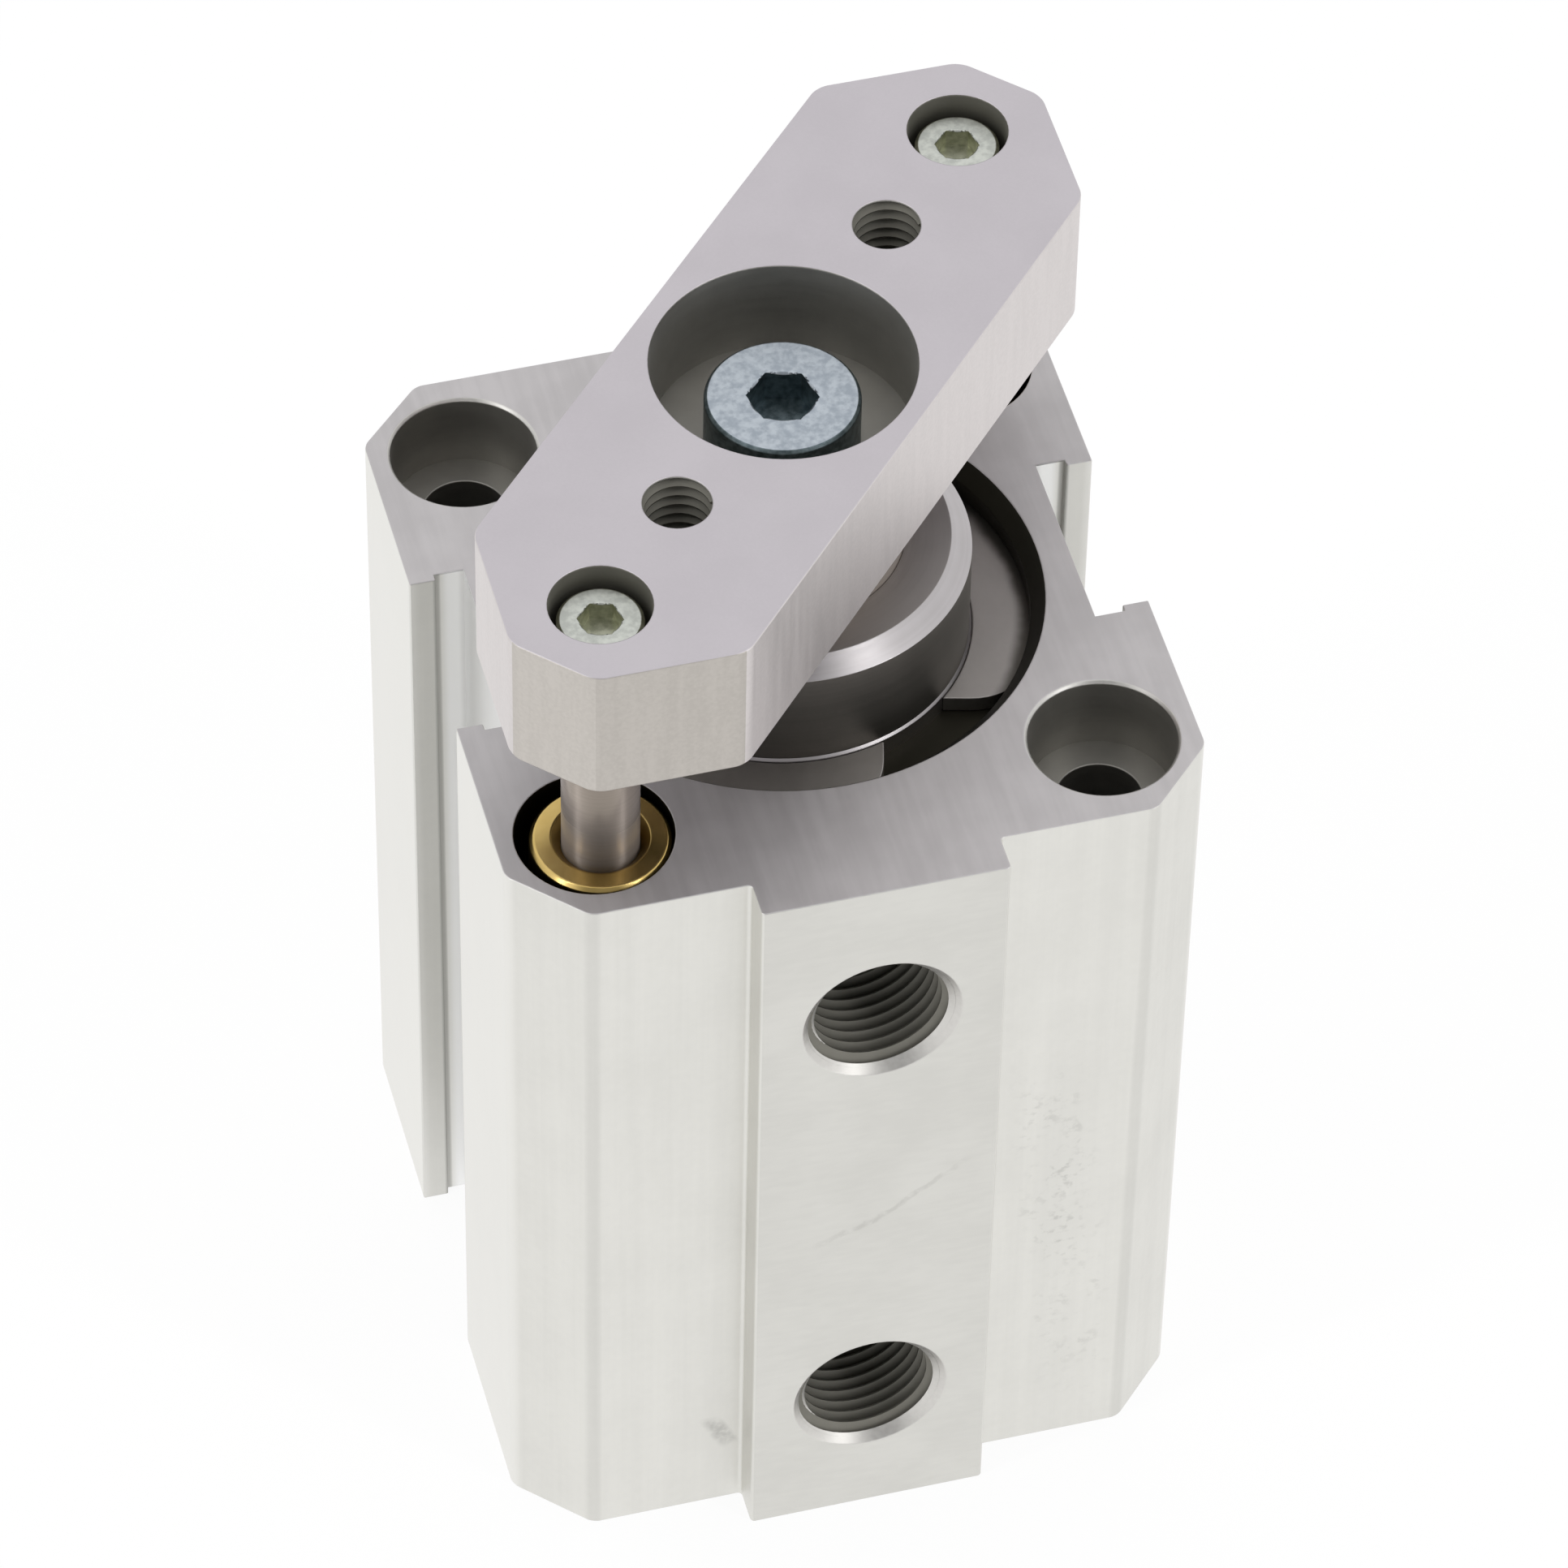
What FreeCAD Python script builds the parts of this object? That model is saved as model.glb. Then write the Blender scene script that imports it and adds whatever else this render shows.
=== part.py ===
import FreeCAD, Part
import math
import os

import Sketcher

# A short-stroke air cylinder with two guide rods and a front plate.
# The origin is on the cylinder's axis at the base face, +Z points along the rod
# towards the plate, and the air ports open on the -Y side. Lengths are in millimetres.
# The rod is drawn in, so the piston rests on its rear bumper.

# Driving sizes, each one written once
SIZES = {
    # Stack along the axis, from the base to the top of the body
    "stroke": 30,
    "rear_ring_depth": 1.6,
    "ring_thickness": 1.2,
    "rear_cover_length": 5.2,
    "bumper_stand": 1.0,
    "end_gap": 0.05,
    "piston_length": 12.3,
    "front_cover_length": 6.1,
    "front_ring_depth": 2.5,
    # Body extrusion
    "side_wall": 2.05,
    "end_wall": 6.7,
    "corner_chamfer": 4.5,
    "corner_round": 1.2,
    "boss_width": 16.2,
    "boss_height": 2.6,
    "boss_round": 0.3,
    "channel_mouth": 12.9,
    "channel_undercut": 0.5,
    "channel_depth": 3.7,
    "channel_lip": 1.75,
    # Bores in the body
    "piston_bore": 32,
    "cover_step": 0.25,
    "mouth_flare": 0.95,
    "mouth_length": 1.2,
    "ring_groove_depth": 0.8,
    "ring_play": 0.05,
    # Mounting holes
    "mount_side_inset": 6.2,
    "mount_end_inset": 6.65,
    "mount_hole": 5.5,
    "mount_head_bore": 9.6,
    "mount_head_depth": 5.6,
    "rim_chamfer": 0.3,
    # Air ports
    "port_diameter": 9.73,
    "port_mouth": 10.6,
    "port_floor_wall": 1.65,
    "port_from_base": 11.5,
    "port_from_top": 12.4,
    "passage_diameter": 3,
    "passage_margin": 0.05,
    # Guide rods and their bushes
    "guide_side_inset": 6.7,
    "guide_end_inset": 6.4,
    "guide_diameter": 5,
    "guide_clearance": 0.03,
    "guide_base": 4,
    "guide_seat": 1.5,
    "guide_end_chamfer": 0.5,
    "guide_hole_clearance": 0.6,
    "bush_wall": 2.02,
    "bush_length": 24,
    "bush_recess": 0.1,
    "bush_edge_chamfer": 0.3,
    "bush_bore_chamfer": 1.5,
    "relief_side_shift": 0.35,
    "relief_end_shift": 0.25,
    "relief_margin": 0.55,
    "relief_depth": 6,
    # Rod cover, rod bush and rod seal
    "hub_diameter": 24.7,
    "hub_height": 5.75,
    "hub_chamfer_width": 1.35,
    "hub_chamfer_height": 1.0,
    "cover_clearance": 0.03,
    "rod_bush_wall": 1.0,
    "rod_bush_length": 8,
    "land_clearance": 0.3,
    "rod_seal_width": 2.8,
    "rod_seal_depth": 2.8,
    "rod_seal_cover": 2.65,
    "rod_seal_notch": 1.1,
    # Cover seals, bumpers and retaining rings
    "o_ring_section": 1.6,
    "o_ring_side_room": 0.2,
    "o_ring_room": 0.02,
    "bumper_thickness": 2.0,
    "bumper_outer": 24,
    "bumper_rod_clearance": 0.6,
    "ring_hub_clearance": 0.2,
    "ring_gap_inner": 3.9,
    "ring_gap_outer": 16.8,
    "ring_end_round": 4.5,
    "front_ring_gap_angle": -60,
    "rear_ring_gap_angle": 90,
    # Piston, its seal and its magnet
    "piston_clearance": 0.15,
    "piston_neck_step": 2.85,
    "piston_neck_base": 3.0,
    "piston_land": 0.9,
    "piston_seal_width": 2.6,
    "piston_seal_depth": 3.25,
    "piston_seal_clearance": 0.05,
    "piston_seal_notch": 0.5,
    "magnet_width": 2.2,
    "magnet_depth": 2.45,
    "magnet_clearance": 0.2,
    "groove_play": 0.05,
    # Piston rod
    "rod_diameter": 16,
    "rod_clearance": 0.03,
    "rod_seat_depth": 1.5,
    "rod_end_chamfer": 0.8,
    "seat_clearance": 0.02,
    "thread_clearance": 0.02,
    "thread_spare": 2.5,
    # Front plate
    "plate_gap": 10.9,
    "plate_thickness": 10.3,
    "plate_side_inset": 0.55,
    "plate_end_inset": 0.3,
    "plate_side_wall": 1.35,
    "plate_corner": 4.3,
    "plate_round": 1.8,
    "plate_edge_chamfer": 0.25,
    "recess_diameter": 17,
    "recess_depth": 7.1,
    "tap_circle": 28,
    "tap_diameter": 5,
    "tap_countersink": 0.35,
    # Screw that holds the plate on the rod
    "plate_screw_thread": 6,
    "plate_screw_head": 10,
    "plate_screw_head_height": 4,
    "plate_screw_key": 4,
    "plate_screw_key_depth": 2.3,
    "plate_screw_length": 16,
    "plate_screw_play": 0.3,
    # Screws that hold the guide rods on the plate
    "guide_screw_thread": 3,
    "guide_screw_head": 5.5,
    "guide_screw_head_height": 3,
    "guide_screw_key": 2.5,
    "guide_screw_key_depth": 1.3,
    "guide_screw_length": 12,
    "guide_screw_play": 0.2,
    "guide_screw_head_room": 0.5,
    "guide_screw_bore_depth": 4.3,
    # Screw that holds the piston on the rod
    "piston_screw_thread": 8,
    "piston_screw_head": 13,
    "piston_screw_head_height": 5,
    "piston_screw_key": 5,
    "piston_screw_key_depth": 2.5,
    "piston_screw_length": 20,
    "piston_screw_play": 0.3,
    "piston_screw_head_room": 0.5,
    "piston_screw_bore_depth": 6,
    "screw_edge_chamfer": 0.35,
}

# How far a cutting profile reaches past the face that it opens
REACH = 1.0
HEXAGON_CORNER = 1 / math.sqrt(3)
DRILL_POINT = 1 / math.tan(math.radians(59))
# The largest rounding of a ring's end, as a share of the ring's width
RING_END_SHARE = 1.1

doc = FreeCAD.newDocument("short_stroke_cylinder")
sheet = doc.addObject("Spreadsheet::Sheet", "sizes")
for row, (alias, number) in enumerate(SIZES.items(), start=1):
    sheet.set(f"A{row}", alias)
    sheet.set(f"B{row}", str(number))
    sheet.setAlias(f"B{row}", alias)
doc.recompute()


class Size:
    """A length: its present value, and the expression that gives it from the sheet."""

    def __init__(self, text, value):
        self.text = text
        self.value = value

    def joined(self, sign, other, value):
        text = other.text if isinstance(other, Size) else repr(float(other))
        return Size(f"({self.text} {sign} {text})", value)

    def __add__(self, other):
        return self.joined("+", other, self.value + number_of(other))

    def __sub__(self, other):
        return self.joined("-", other, self.value - number_of(other))

    def __mul__(self, other):
        return self.joined("*", other, self.value * number_of(other))

    def __truediv__(self, other):
        return self.joined("/", other, self.value / number_of(other))

    def __neg__(self):
        return Size(f"(-1 * {self.text})", -self.value)


def number_of(length):
    return length.value if isinstance(length, Size) else float(length)


def smaller_of(first, second):
    return Size(f"min({first.text}; {second.text})", min(first.value, second.value))


def slant_of(across, along):
    """The straight distance over a step across and a step along."""
    return Size(f"sqrt({across.text} ^ 2 + {along.text} ^ 2)", math.hypot(across.value, along.value))


class SheetSizes:
    """Reads a sheet cell by its alias, as in size.stroke."""

    def __getattr__(self, alias):
        return Size(f"sizes.{alias}", float(sheet.get(alias)))


size = SheetSizes()


# Sketches and features that the pieces share
def bind(feature, path, length):
    """Tie one property to the sheet."""
    if isinstance(length, Size):
        feature.setExpression(path, length.text)


def new_body(label):
    body = doc.addObject("PartDesign::Body", label)
    body.Label = label
    return body


def place(body, x=0, y=0, z=0, turn=0):
    """Set the body's place, with its turn about the vertical in degrees."""
    spot = FreeCAD.Vector(number_of(x), number_of(y), number_of(z))
    body.Placement = FreeCAD.Placement(spot, FreeCAD.Rotation(FreeCAD.Vector(0, 0, 1), number_of(turn)))
    for path, length in (("x", x), ("y", y), ("z", z)):
        bind(body, f"Placement.Base.{path}", length)
    bind(body, "Placement.Rotation.Angle", turn)


def new_sketch(body, name, plane, shift=(0, 0, 0)):
    """A sketch on one of the body's own planes, moved by shift in the sketch's own directions."""
    sketch = body.newObject("Sketcher::SketchObject", f"{body.Name}_{name}_sketch")
    support = next(item for item in body.Origin.OriginFeatures if item.Role == plane)
    sketch.AttachmentSupport = [(support, "")]
    sketch.MapMode = "FlatFace"
    sketch.AttachmentOffset = FreeCAD.Placement(
        FreeCAD.Vector(*[number_of(length) for length in shift]), FreeCAD.Rotation())
    for path, length in zip("xyz", shift):
        bind(sketch, f"AttachmentOffset.Base.{path}", length)
    return sketch


def tie_point(sketch, geometry, corner, x, y):
    """Hold a point of the sketch at x, y from the sketch's origin."""
    for kind, length, axis in (("DistanceX", x, -2), ("DistanceY", y, -1)):
        if number_of(length) == 0:
            sketch.addConstraint(Sketcher.Constraint("PointOnObject", geometry, corner, axis))
            continue
        rule = Sketcher.Constraint(kind, -1, 1, geometry, corner, number_of(length))
        index = sketch.addConstraint(rule)
        bind(sketch, f"Constraints[{index}]", length)


def draw_polygon(sketch, points):
    """A closed outline of straight lines through points of the sheet's sizes."""
    corners = [FreeCAD.Vector(number_of(x), number_of(y), 0) for x, y in points]
    first = sketch.GeometryCount
    for start, end in zip(corners, corners[1:] + corners[:1]):
        sketch.addGeometry(Part.LineSegment(start, end), False)
    for index, (x, y) in enumerate(points):
        line = first + index
        line_before = first + (index - 1) % len(points)
        sketch.addConstraint(Sketcher.Constraint("Coincident", line_before, 2, line, 1))
        tie_point(sketch, line, 1, x, y)


def draw_circle(sketch, x, y, diameter):
    centre = FreeCAD.Vector(number_of(x), number_of(y), 0)
    up = FreeCAD.Vector(0, 0, 1)
    circle = sketch.addGeometry(Part.Circle(centre, up, number_of(diameter) / 2), False)
    tie_point(sketch, circle, 3, x, y)
    index = sketch.addConstraint(Sketcher.Constraint("Diameter", circle, number_of(diameter)))
    bind(sketch, f"Constraints[{index}]", diameter)


def revolve(body, name, points, cut=False, x=0, y=0):
    """Turn a half profile of (radius, height) points about a vertical line at x, y."""
    sketch = new_sketch(body, name, "XZ_Plane", (x, 0, -y))
    draw_polygon(sketch, points)
    feature = body.newObject("PartDesign::Groove" if cut else "PartDesign::Revolution", f"{body.Name}_{name}")
    feature.Profile = sketch
    feature.ReferenceAxis = (sketch, ["V_Axis"])
    feature.Angle = 360
    return feature


def bore_across(body, name, points, z):
    """Cut a round hole along Y at height z, from a half profile of (y, radius) points."""
    sketch = new_sketch(body, name, "YZ_Plane", (0, z, 0))
    draw_polygon(sketch, points)
    feature = body.newObject("PartDesign::Groove", f"{body.Name}_{name}")
    feature.Profile = sketch
    feature.ReferenceAxis = (sketch, ["H_Axis"])
    feature.Angle = 360
    return feature


def extrude(body, name, sketch, length, cut=False, upwards=True):
    """Pad a sketch, or pocket it, up or down along Z."""
    feature = body.newObject("PartDesign::Pocket" if cut else "PartDesign::Pad", f"{body.Name}_{name}")
    feature.Profile = sketch
    feature.Length = number_of(length)
    bind(feature, "Length", length)
    feature.Reversed = upwards if cut else not upwards
    return feature


def dress_edges(body, kind, name, base, wanted, length):
    """Fillet or chamfer those edges of the base feature that wanted() picks."""
    doc.recompute()
    edges = [f"Edge{index}" for index, edge in enumerate(base.Shape.Edges, start=1) if wanted(edge)]
    feature = body.newObject(f"PartDesign::{kind}", f"{body.Name}_{name}")
    feature.Base = (base, edges)
    path = "Radius" if kind == "Fillet" else "Size"
    setattr(feature, path, number_of(length))
    bind(feature, path, length)
    return feature


# Heights that follow from the stack
rear_cover_base = size.rear_ring_depth + size.ring_thickness
rear_cover_top = rear_cover_base + size.rear_cover_length
piston_base = rear_cover_top + size.bumper_stand + size.end_gap
piston_top = piston_base + size.piston_length
front_cover_base = piston_top + size.stroke + size.end_gap + size.bumper_stand
front_ring_base = front_cover_base + size.front_cover_length
front_ring_top = front_ring_base + size.ring_thickness
body_height = front_ring_top + size.front_ring_depth
hub_top = body_height + size.hub_height
plate_base = body_height + size.plate_gap
plate_top = plate_base + size.plate_thickness
guide_top = plate_base + size.guide_seat
guide_screw_seat = plate_top - size.guide_screw_bore_depth
plate_screw_seat = plate_top - size.recess_depth
piston_screw_seat = piston_base + size.piston_screw_bore_depth
rod_base = piston_top - size.rod_seat_depth
bush_top = body_height - size.bush_recess
bush_base = bush_top - size.bush_length

# Radii that more than one piece uses
rod_radius = size.rod_diameter / 2
bore_radius = size.piston_bore / 2
cover_bore_radius = bore_radius + size.cover_step
cover_radius = cover_bore_radius - size.cover_clearance
ring_groove_radius = cover_bore_radius + size.ring_groove_depth
mouth_radius = cover_bore_radius + size.mouth_flare
hub_radius = size.hub_diameter / 2
bumper_inner = rod_radius + size.bumper_rod_clearance
bumper_outer = size.bumper_outer / 2
bumper_seat = size.bumper_thickness - size.bumper_stand
o_ring_middle = cover_bore_radius - size.o_ring_room - size.o_ring_section / 2
o_ring_floor = o_ring_middle - size.o_ring_section / 2 - size.o_ring_room
bush_bore_radius = size.guide_diameter / 2 + size.guide_clearance
bush_radius = bush_bore_radius + size.bush_wall
guide_screw_bore = size.guide_screw_head / 2 + size.guide_screw_head_room
recess_radius = size.recess_diameter / 2

# The body grows with its bore, and what stands in its corners keeps its distance from its sides
half_width = mouth_radius + size.side_wall + size.channel_depth
half_depth = mouth_radius + size.end_wall
boss_face = -(half_depth + size.boss_height)
guide_x = half_width - size.guide_side_inset
guide_y = half_depth - size.guide_end_inset
mount_x = half_width - size.mount_side_inset
mount_y = half_depth - size.mount_end_inset
port_floor = -(bore_radius + size.port_floor_wall)

# The guide rods, the taps and the plate lie along one slanting line, with this slope across and along
guide_reach = slant_of(guide_x, guide_y)
slope_x = guide_x / guide_reach
slope_y = guide_y / guide_reach


# Body: an extrusion with two switch channels and a boss for the ports
def body_outline():
    boss = size.boss_width / 2
    side_end = half_depth - size.corner_chamfer
    front_end = half_width - size.corner_chamfer
    mouth = size.channel_mouth / 2
    wide = mouth + size.channel_undercut
    under_lip = half_width - size.channel_lip
    floor = half_width - size.channel_depth
    right = [
        (boss, boss_face),
        (boss, -half_depth),
        (front_end, -half_depth),
        (half_width, -side_end),
        (half_width, -mouth),
        (under_lip, -mouth),
        (under_lip, -wide),
        (floor, -wide),
        (floor, wide),
        (under_lip, wide),
        (under_lip, mouth),
        (half_width, mouth),
        (half_width, side_end),
        (front_end, half_depth),
    ]
    left = [(-x, y) for x, y in reversed(right)]
    return right + left


def bore_profile():
    """The stepped bore: a lead-in and a ring groove at each end, with the piston's bore between."""
    rear_groove = size.rear_ring_depth
    return [
        (0, -REACH),
        (mouth_radius, -REACH),
        (mouth_radius, 0),
        (cover_bore_radius, size.mouth_length),
        (cover_bore_radius, rear_groove),
        (ring_groove_radius, rear_groove),
        (ring_groove_radius, rear_cover_base + size.ring_play),
        (cover_bore_radius, rear_cover_base + size.ring_play),
        (cover_bore_radius, rear_cover_top),
        (bore_radius, rear_cover_top),
        (bore_radius, front_cover_base),
        (cover_bore_radius, front_cover_base),
        (cover_bore_radius, front_ring_base - size.ring_play),
        (ring_groove_radius, front_ring_base - size.ring_play),
        (ring_groove_radius, front_ring_top),
        (cover_bore_radius, front_ring_top),
        (cover_bore_radius, body_height - size.mouth_length),
        (mouth_radius, body_height),
        (mouth_radius, body_height + REACH),
        (0, body_height + REACH),
    ]


def mount_profile():
    """A through hole, counterbored for a screw head at the plate's end."""
    hole = size.mount_hole / 2
    head = size.mount_head_bore / 2
    floor = body_height - size.mount_head_depth
    return [
        (0, -REACH),
        (hole + size.rim_chamfer, -REACH),
        (hole + size.rim_chamfer, 0),
        (hole, size.rim_chamfer),
        (hole, floor),
        (head, floor),
        (head, body_height - size.rim_chamfer),
        (head + size.rim_chamfer, body_height),
        (head + size.rim_chamfer, body_height + REACH),
        (0, body_height + REACH),
    ]


def guide_bore_profile():
    """The seat of a guide bush, with room for the rod below it."""
    hole = size.guide_diameter / 2 + size.guide_hole_clearance
    return [
        (0, -REACH),
        (hole, -REACH),
        (hole, bush_base),
        (bush_radius, bush_base),
        (bush_radius, body_height + REACH),
        (0, body_height + REACH),
    ]


def relief_profile():
    """A counterbore round a guide bush's top. It is off the bush's centre, so its gap is a crescent."""
    relief = bush_radius + size.relief_margin
    floor = body_height - size.relief_depth
    return [(0, floor), (relief, floor), (relief, body_height + REACH), (0, body_height + REACH)]


def port_profile():
    """A threaded air port, drawn at its thread's outer diameter."""
    mouth = size.port_mouth / 2
    hole = size.port_diameter / 2
    return [
        (boss_face - REACH, 0),
        (boss_face - REACH, mouth),
        (boss_face, mouth),
        (boss_face + mouth - hole, hole),
        (port_floor, hole),
        (port_floor, 0),
    ]


def passage_profile():
    """The small drilling from a port's floor into the bore."""
    hole = size.passage_diameter / 2
    inside = -(bore_radius - REACH)
    return [(port_floor - REACH, 0), (port_floor - REACH, hole), (inside, hole), (inside, 0)]


def make_cylinder_body():
    body = new_body("cylinder_body")
    outline = new_sketch(body, "outline", "XY_Plane")
    draw_polygon(outline, body_outline())
    extrusion = extrude(body, "extrusion", outline, body_height)
    beside_channel = number_of(size.channel_mouth / 2 + size.channel_undercut)
    beside_boss = number_of(size.boss_width) / 2

    def upright(edge):
        return abs(edge.BoundBox.ZLength - number_of(body_height)) < 1e-6

    def on_corner(edge):
        box = edge.BoundBox
        return upright(edge) and abs(box.YMin) > beside_channel + 1e-6 and abs(box.XMin) > beside_boss + 1e-6

    def on_boss(edge):
        return upright(edge) and abs(abs(edge.BoundBox.XMin) - beside_boss) < 1e-6

    corners = dress_edges(body, "Fillet", "corner_rounds", extrusion, on_corner, size.corner_round)
    dress_edges(body, "Fillet", "boss_rounds", corners, on_boss, size.boss_round)
    revolve(body, "bore", bore_profile(), cut=True)
    for side in (-1, 1):
        name = "left" if side < 0 else "right"
        relief_x = guide_x + size.relief_side_shift
        relief_y = guide_y - size.relief_end_shift
        revolve(body, f"mount_{name}", mount_profile(), True, mount_x * side, mount_y * -side)
        revolve(body, f"guide_{name}", guide_bore_profile(), True, guide_x * side, guide_y * side)
        revolve(body, f"relief_{name}", relief_profile(), True, relief_x * side, relief_y * side)
    rear_passage = piston_base + size.piston_neck_base / 2
    front_passage = front_cover_base - size.passage_margin - size.passage_diameter / 2
    bore_across(body, "rear_port", port_profile(), size.port_from_base)
    bore_across(body, "rear_passage", passage_profile(), rear_passage)
    bore_across(body, "front_port", port_profile(), body_height - size.port_from_top)
    bore_across(body, "front_passage", passage_profile(), front_passage)
    return body


# Covers that close the two ends of the bore
def o_ring_groove(middle):
    """The three sides of an O-ring's groove, from below to above."""
    low = middle - size.o_ring_section / 2 - size.o_ring_side_room
    high = middle + size.o_ring_section / 2 + size.o_ring_side_room
    return [(cover_radius, low), (o_ring_floor, low), (o_ring_floor, high), (cover_radius, high)]


front_o_ring_height = front_cover_base + size.front_cover_length / 2
rear_o_ring_height = rear_cover_base + size.rear_cover_length / 2
rod_bush_base = front_cover_base + bumper_seat
rod_bush_top = rod_bush_base + size.rod_bush_length
rod_bush_radius = rod_radius + size.rod_clearance + size.rod_bush_wall
rod_seal_top = hub_top - size.rod_seal_cover
rod_seal_base = rod_seal_top - size.rod_seal_width
rod_seal_radius = rod_radius + size.rod_seal_depth


def make_rod_cover():
    body = new_body("rod_cover")
    land = rod_radius + size.land_clearance
    profile = [(bumper_outer, front_cover_base), (cover_radius, front_cover_base)]
    profile += o_ring_groove(front_o_ring_height)
    profile += [
        (cover_radius, front_ring_base),
        (hub_radius, front_ring_base),
        (hub_radius, hub_top - size.hub_chamfer_height),
        (hub_radius - size.hub_chamfer_width, hub_top),
        (land, hub_top),
        (land, rod_seal_top),
        (rod_seal_radius, rod_seal_top),
        (rod_seal_radius, rod_seal_base),
        (land, rod_seal_base),
        (land, rod_bush_top),
        (rod_bush_radius, rod_bush_top),
        (rod_bush_radius, rod_bush_base),
        (bumper_outer, rod_bush_base),
    ]
    revolve(body, "turning", profile)
    return body


def make_rear_cover():
    body = new_body("rear_cover")
    profile = [(0, rear_cover_base), (cover_radius, rear_cover_base)]
    profile += o_ring_groove(rear_o_ring_height)
    profile += [
        (cover_radius, rear_cover_top),
        (bumper_outer, rear_cover_top),
        (bumper_outer, rear_cover_top - bumper_seat),
        (bumper_inner, rear_cover_top - bumper_seat),
        (bumper_inner, rear_cover_top),
        (0, rear_cover_top),
    ]
    revolve(body, "turning", profile)
    return body


def make_o_ring(label, height):
    body = new_body(label)
    sketch = new_sketch(body, "section", "XZ_Plane")
    draw_circle(sketch, o_ring_middle, height, size.o_ring_section)
    ring = body.newObject("PartDesign::Revolution", f"{label}_ring")
    ring.Profile = sketch
    ring.ReferenceAxis = (sketch, ["V_Axis"])
    ring.Angle = 360
    return body


def make_tube(label, inner, outer, base, top):
    """A plain ring between two radii and two heights."""
    body = new_body(label)
    revolve(body, "turning", [(inner, base), (outer, base), (outer, top), (inner, top)])
    return body


def make_rod_seal():
    """A lip seal with its groove towards the pressure."""
    body = new_body("rod_seal")
    lip = rod_radius + size.rod_clearance
    middle = (lip + rod_seal_radius) / 2
    profile = [
        (lip, rod_seal_base),
        (middle, rod_seal_base + size.rod_seal_notch),
        (rod_seal_radius, rod_seal_base),
        (rod_seal_radius, rod_seal_top),
        (lip, rod_seal_top),
    ]
    revolve(body, "turning", profile)
    return body


def make_retaining_ring(label, base, gap_angle):
    """A flat spring ring, open at one side, with slanting ends that are rounded next to its groove."""
    body = new_body(label)
    inner = hub_radius + size.ring_hub_clearance
    outer = ring_groove_radius - size.ring_play
    face = new_sketch(body, "face", "XY_Plane")
    draw_circle(face, 0, 0, outer * 2)
    draw_circle(face, 0, 0, inner * 2)
    extrude(body, "blank", face, size.ring_thickness)
    gap = new_sketch(body, "gap", "XY_Plane")
    near = inner - REACH
    far = outer + REACH
    draw_polygon(gap, [
        (near, -(size.ring_gap_inner / 2)),
        (far, -(size.ring_gap_outer / 2)),
        (far, size.ring_gap_outer / 2),
        (near, size.ring_gap_inner / 2),
    ])
    opening = extrude(body, "opening", gap, size.ring_thickness, cut=True)

    def at_outer_end(edge):
        corner = edge.Vertexes[0].Point
        upright = edge.BoundBox.ZLength > edge.BoundBox.XLength + edge.BoundBox.YLength
        return upright and math.hypot(corner.x, corner.y) > number_of((inner + outer) / 2)

    end_round = smaller_of(size.ring_end_round, (outer - inner) * RING_END_SHARE)
    dress_edges(body, "Fillet", "end_rounds", opening, at_outer_end, end_round)
    place(body, z=base, turn=gap_angle)
    return body


# Guides: two bushes in the body, two rods on the plate
def make_guide_bush(label, side):
    body = new_body(label)
    profile = [
        (bush_bore_radius, bush_base),
        (bush_radius, bush_base),
        (bush_radius, bush_top - size.bush_edge_chamfer),
        (bush_radius - size.bush_edge_chamfer, bush_top),
        (bush_bore_radius + size.bush_bore_chamfer, bush_top),
        (bush_bore_radius, bush_top - size.bush_bore_chamfer),
    ]
    revolve(body, "turning", profile)
    place(body, guide_x * side, guide_y * side)
    return body


def tapped_end(thread, depth, mouth, into):
    """Profile points of a blind drilling from its mouth inwards, ending in a drill point."""
    hole = thread / 2 + size.thread_clearance
    floor = mouth + depth * into
    return [(hole, mouth), (hole, floor), (0, floor + hole * DRILL_POINT * into)]


def make_guide_rod(label, side):
    body = new_body(label)
    radius = size.guide_diameter / 2
    chamfer = size.guide_end_chamfer
    thread_depth = size.guide_screw_length - (guide_screw_seat - guide_top) + size.thread_spare
    profile = [
        (0, size.guide_base),
        (radius - chamfer, size.guide_base),
        (radius, size.guide_base + chamfer),
        (radius, guide_top),
    ]
    profile += tapped_end(size.guide_screw_thread, thread_depth, guide_top, -1)
    revolve(body, "turning", profile)
    place(body, guide_x * side, guide_y * side)
    return body


# Piston and rod
piston_radius = bore_radius - size.piston_clearance
neck_radius = piston_radius - size.piston_neck_step
seal_groove_base = piston_base + size.piston_neck_base + size.piston_land
seal_groove_top = seal_groove_base + size.piston_seal_width
magnet_groove_base = seal_groove_top + size.piston_land
magnet_groove_top = magnet_groove_base + size.magnet_width
seal_floor = piston_radius - size.piston_seal_depth
magnet_floor = piston_radius - size.magnet_depth


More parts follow.
